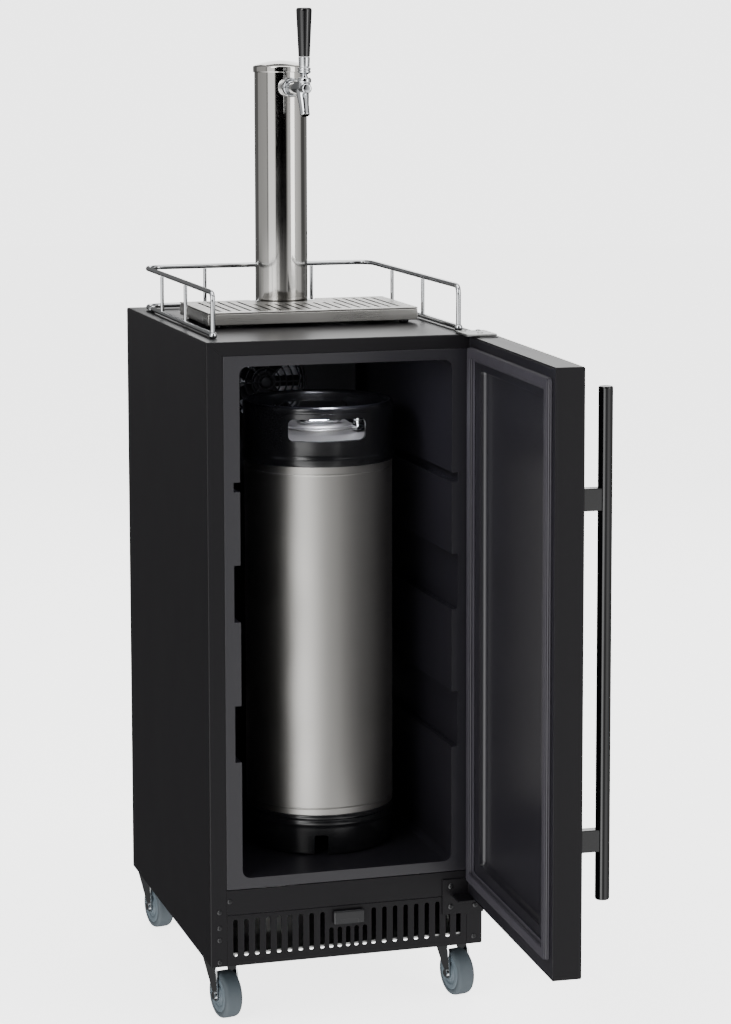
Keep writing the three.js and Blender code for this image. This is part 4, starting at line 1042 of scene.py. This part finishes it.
class KegeratorStage(bpy.types.Operator):
    """Sets up the floor, soft light and camera"""
    bl_idname = "kegerator.stage"
    bl_label = "Stage"

    def execute(self, context):
        bpy.ops.object.select_all(action="DESELECT")
        bpy.ops.mesh.primitive_circle_add(vertices=128, radius=14.0, fill_type="NGON")
        floor = bpy.context.object
        floor.name = "studio_floor"
        surface("studio_floor_paint", colour_of("floor"), 0.02, 0.6, (4, 4, 4), 0.01,
                emission_color=(1.0, 1.0, 1.0, 1.0), emission_strength=3.0)
        floor.data.materials.append(bpy.data.materials["studio_floor_paint"])
        floor.visible_glossy = False
        self.camera()
        self.lights()
        self.world(context.scene)
        return {"FINISHED"}

    def camera(self):
        down, roll, bearing = 6.53, 0.11, -16.47         # degrees
        bpy.ops.object.camera_add(
            location=(-1.087, -4.025, 1.365),
            rotation=(math.radians(90 - down), math.radians(roll), math.radians(bearing)))
        camera = bpy.context.object
        camera.name = "studio_camera"
        camera.data.sensor_width = 36.0
        camera.data.lens = 102.85
        camera.data.shift_y = -0.1504
        camera.data.clip_end = 60.0
        bpy.context.scene.camera = camera

    def lights(self):
        """Four softboxes, a fill for the open bay that no gloss mirrors, and the bay's lamp."""
        target = Vector((0, 0, 0.6))
        for name, place, size, power in (
                ("key_softbox", (-2.6, -2.6, 2.6), (1.6, 2.2), 70.0),
                ("fill_softbox", (2.6, -3.2, 1.8), (1.4, 2.4), 45.0),
                ("top_softbox", (0.0, -0.2, 3.4), (2.4, 2.4), 60.0),
                ("rear_softbox", (1.4, 3.2, 2.4), (2.0, 2.0), 40.0),
                ("bay_fill", (-0.5, -2.4, 0.9), (1.2, 1.2), 17.0)):
            bpy.ops.object.light_add(type="AREA", location=place)
            light = bpy.context.object
            light.name = name
            light.data.shape = "RECTANGLE"
            light.data.size, light.data.size_y = size
            light.data.energy = power
            aim = target - Vector(place)
            light.rotation_euler = aim.to_track_quat("-Z", "Y").to_euler()
            light.visible_glossy = name != "bay_fill"
        bpy.ops.object.light_add(type="AREA", location=(0.0, -0.193, 0.9015))
        lamp = bpy.context.object
        lamp.name = "bay_lamp"
        lamp.data.size = 0.03
        lamp.data.energy = 0.7
        lamp.data.color = (0.86, 0.88, 1.0)

    def world(self, scene):
        """Light and dark studio panels, named by the way they face, and a pale backdrop."""
        world = bpy.data.worlds.new("studio")
        scene.world = world
        world.use_nodes = True
        tree = world.node_tree
        tree.nodes.clear()
        where = add(tree, "ShaderNodeTexCoord")
        parts = add(tree, "ShaderNodeSeparateXYZ", None, {0: where.outputs["Generated"]})
        bearing = add(tree, "ShaderNodeMath", None, {0: parts.outputs["X"], 1: parts.outputs["Y"]},
                      operation="ARCTAN2")
        turn = add(tree, "ShaderNodeMapRange", {"From Min": -math.pi, "From Max": math.pi,
                                                "To Min": 0.0, "To Max": 1.0},
                   {"Value": bearing.outputs["Value"]})
        # Bearings in degrees, clockwise from +Y, and how bright the studio is there: first at
        # eye level and above, then on the ground.
        upper = ((-180, 0.0), (-143, 0.0), (-138, 1.5), (-110, 1.5), (-106, 0.12),
                 (-100, 0.5), (-50, 0.42), (-44, 0.12), (-30, 0.14), (48, 0.16), (58, 0.3),
                 (70, 0.1), (92, 0.1), (100, 0.6), (130, 0.95), (160, 0.7), (172, 0.0))
        lower = ((-180, 0.4), (-160, 0.7), (-150, 3.6), (-118, 3.6), (-100, 1.6), (-75, 0.8),
                 (-60, 0.06), (50, 0.05), (85, 0.3), (115, 0.6), (140, 1.5), (165, 1.3),
                 (175, 0.4))
        bands = []
        for panels in (upper, lower):
            ramp = add(tree, "ShaderNodeValToRGB", None, {0: turn.outputs["Result"]})
            elements = ramp.color_ramp.elements
            elements.remove(elements[1])
            for index, (degrees, bright) in enumerate(panels):
                position = (degrees + 180) / 360
                stop = elements[0] if index == 0 else elements.new(position)
                stop.position = position
                stop.color = (bright, bright, bright, 1.0)
            bands.append(ramp.outputs["Color"])
        # Below this slant the ground is mirrored, and above it the studio's walls.
        height = add(tree, "ShaderNodeMapRange", {"From Min": -0.12, "From Max": -0.07},
                     {"Value": parts.outputs["Z"]})
        studio = add(tree, "ShaderNodeMix", None,
                     {0: height.outputs["Result"], 6: bands[1], 7: bands[0]}, data_type="RGBA")
        walls, backdrop = 1.3, 3.5       # strengths; the backdrop matches the floor
        around = add(tree, "ShaderNodeBackground", {"Strength": walls},
                     {"Color": studio.outputs[2]})
        plain = add(tree, "ShaderNodeBackground", {"Color": (1.0, 1.0, 1.0, 1.0),
                                                   "Strength": backdrop})
        seen = add(tree, "ShaderNodeLightPath")
        mix = add(tree, "ShaderNodeMixShader", None,
                  {0: seen.outputs["Is Camera Ray"], 1: around.outputs["Background"],
                   2: plain.outputs["Background"]})
        add(tree, "ShaderNodeOutputWorld", None, {"Surface": mix.outputs["Shader"]})


class KegeratorPanel(bpy.types.Panel):
    """Lists the kegerator's pieces, sizes and colours"""
    bl_idname = "VIEW3D_PT_kegerator"
    bl_label = "Kegerator"
    bl_space_type = "VIEW_3D"
    bl_region_type = "UI"
    bl_category = "Kegerator"

    def draw(self, context):
        for group in (context.scene.kegerator_sizes, context.scene.kegerator_colours):
            for name in group.__annotations__:
                self.layout.prop(group, name)
        for operator in OPERATORS:
            self.layout.operator(operator.bl_idname)


OPERATORS = (KegeratorFinishes, KegeratorCabinet, KegeratorLiner, KegeratorCooling,
             KegeratorHinges, KegeratorDoor, KegeratorHandle, KegeratorTower, KegeratorTap,
             KegeratorTray, KegeratorRail, KegeratorKeg, KegeratorCasters, KegeratorStage)
CLASSES = (KegeratorColours, KegeratorSizes, *OPERATORS, KegeratorPanel)


def register():
    for cls in CLASSES:
        bpy.utils.register_class(cls)
    bpy.types.Scene.kegerator_colours = bpy.props.PointerProperty(type=KegeratorColours)
    bpy.types.Scene.kegerator_sizes = bpy.props.PointerProperty(type=KegeratorSizes)


def unregister():
    del bpy.types.Scene.kegerator_sizes
    del bpy.types.Scene.kegerator_colours
    for cls in reversed(CLASSES):
        bpy.utils.unregister_class(cls)


def main():
    """Models every piece in order."""
    register()
    for operator in OPERATORS:
        group, name = operator.bl_idname.split(".")
        getattr(getattr(bpy.ops, group), name)()


if __name__ == "__main__":
    main()
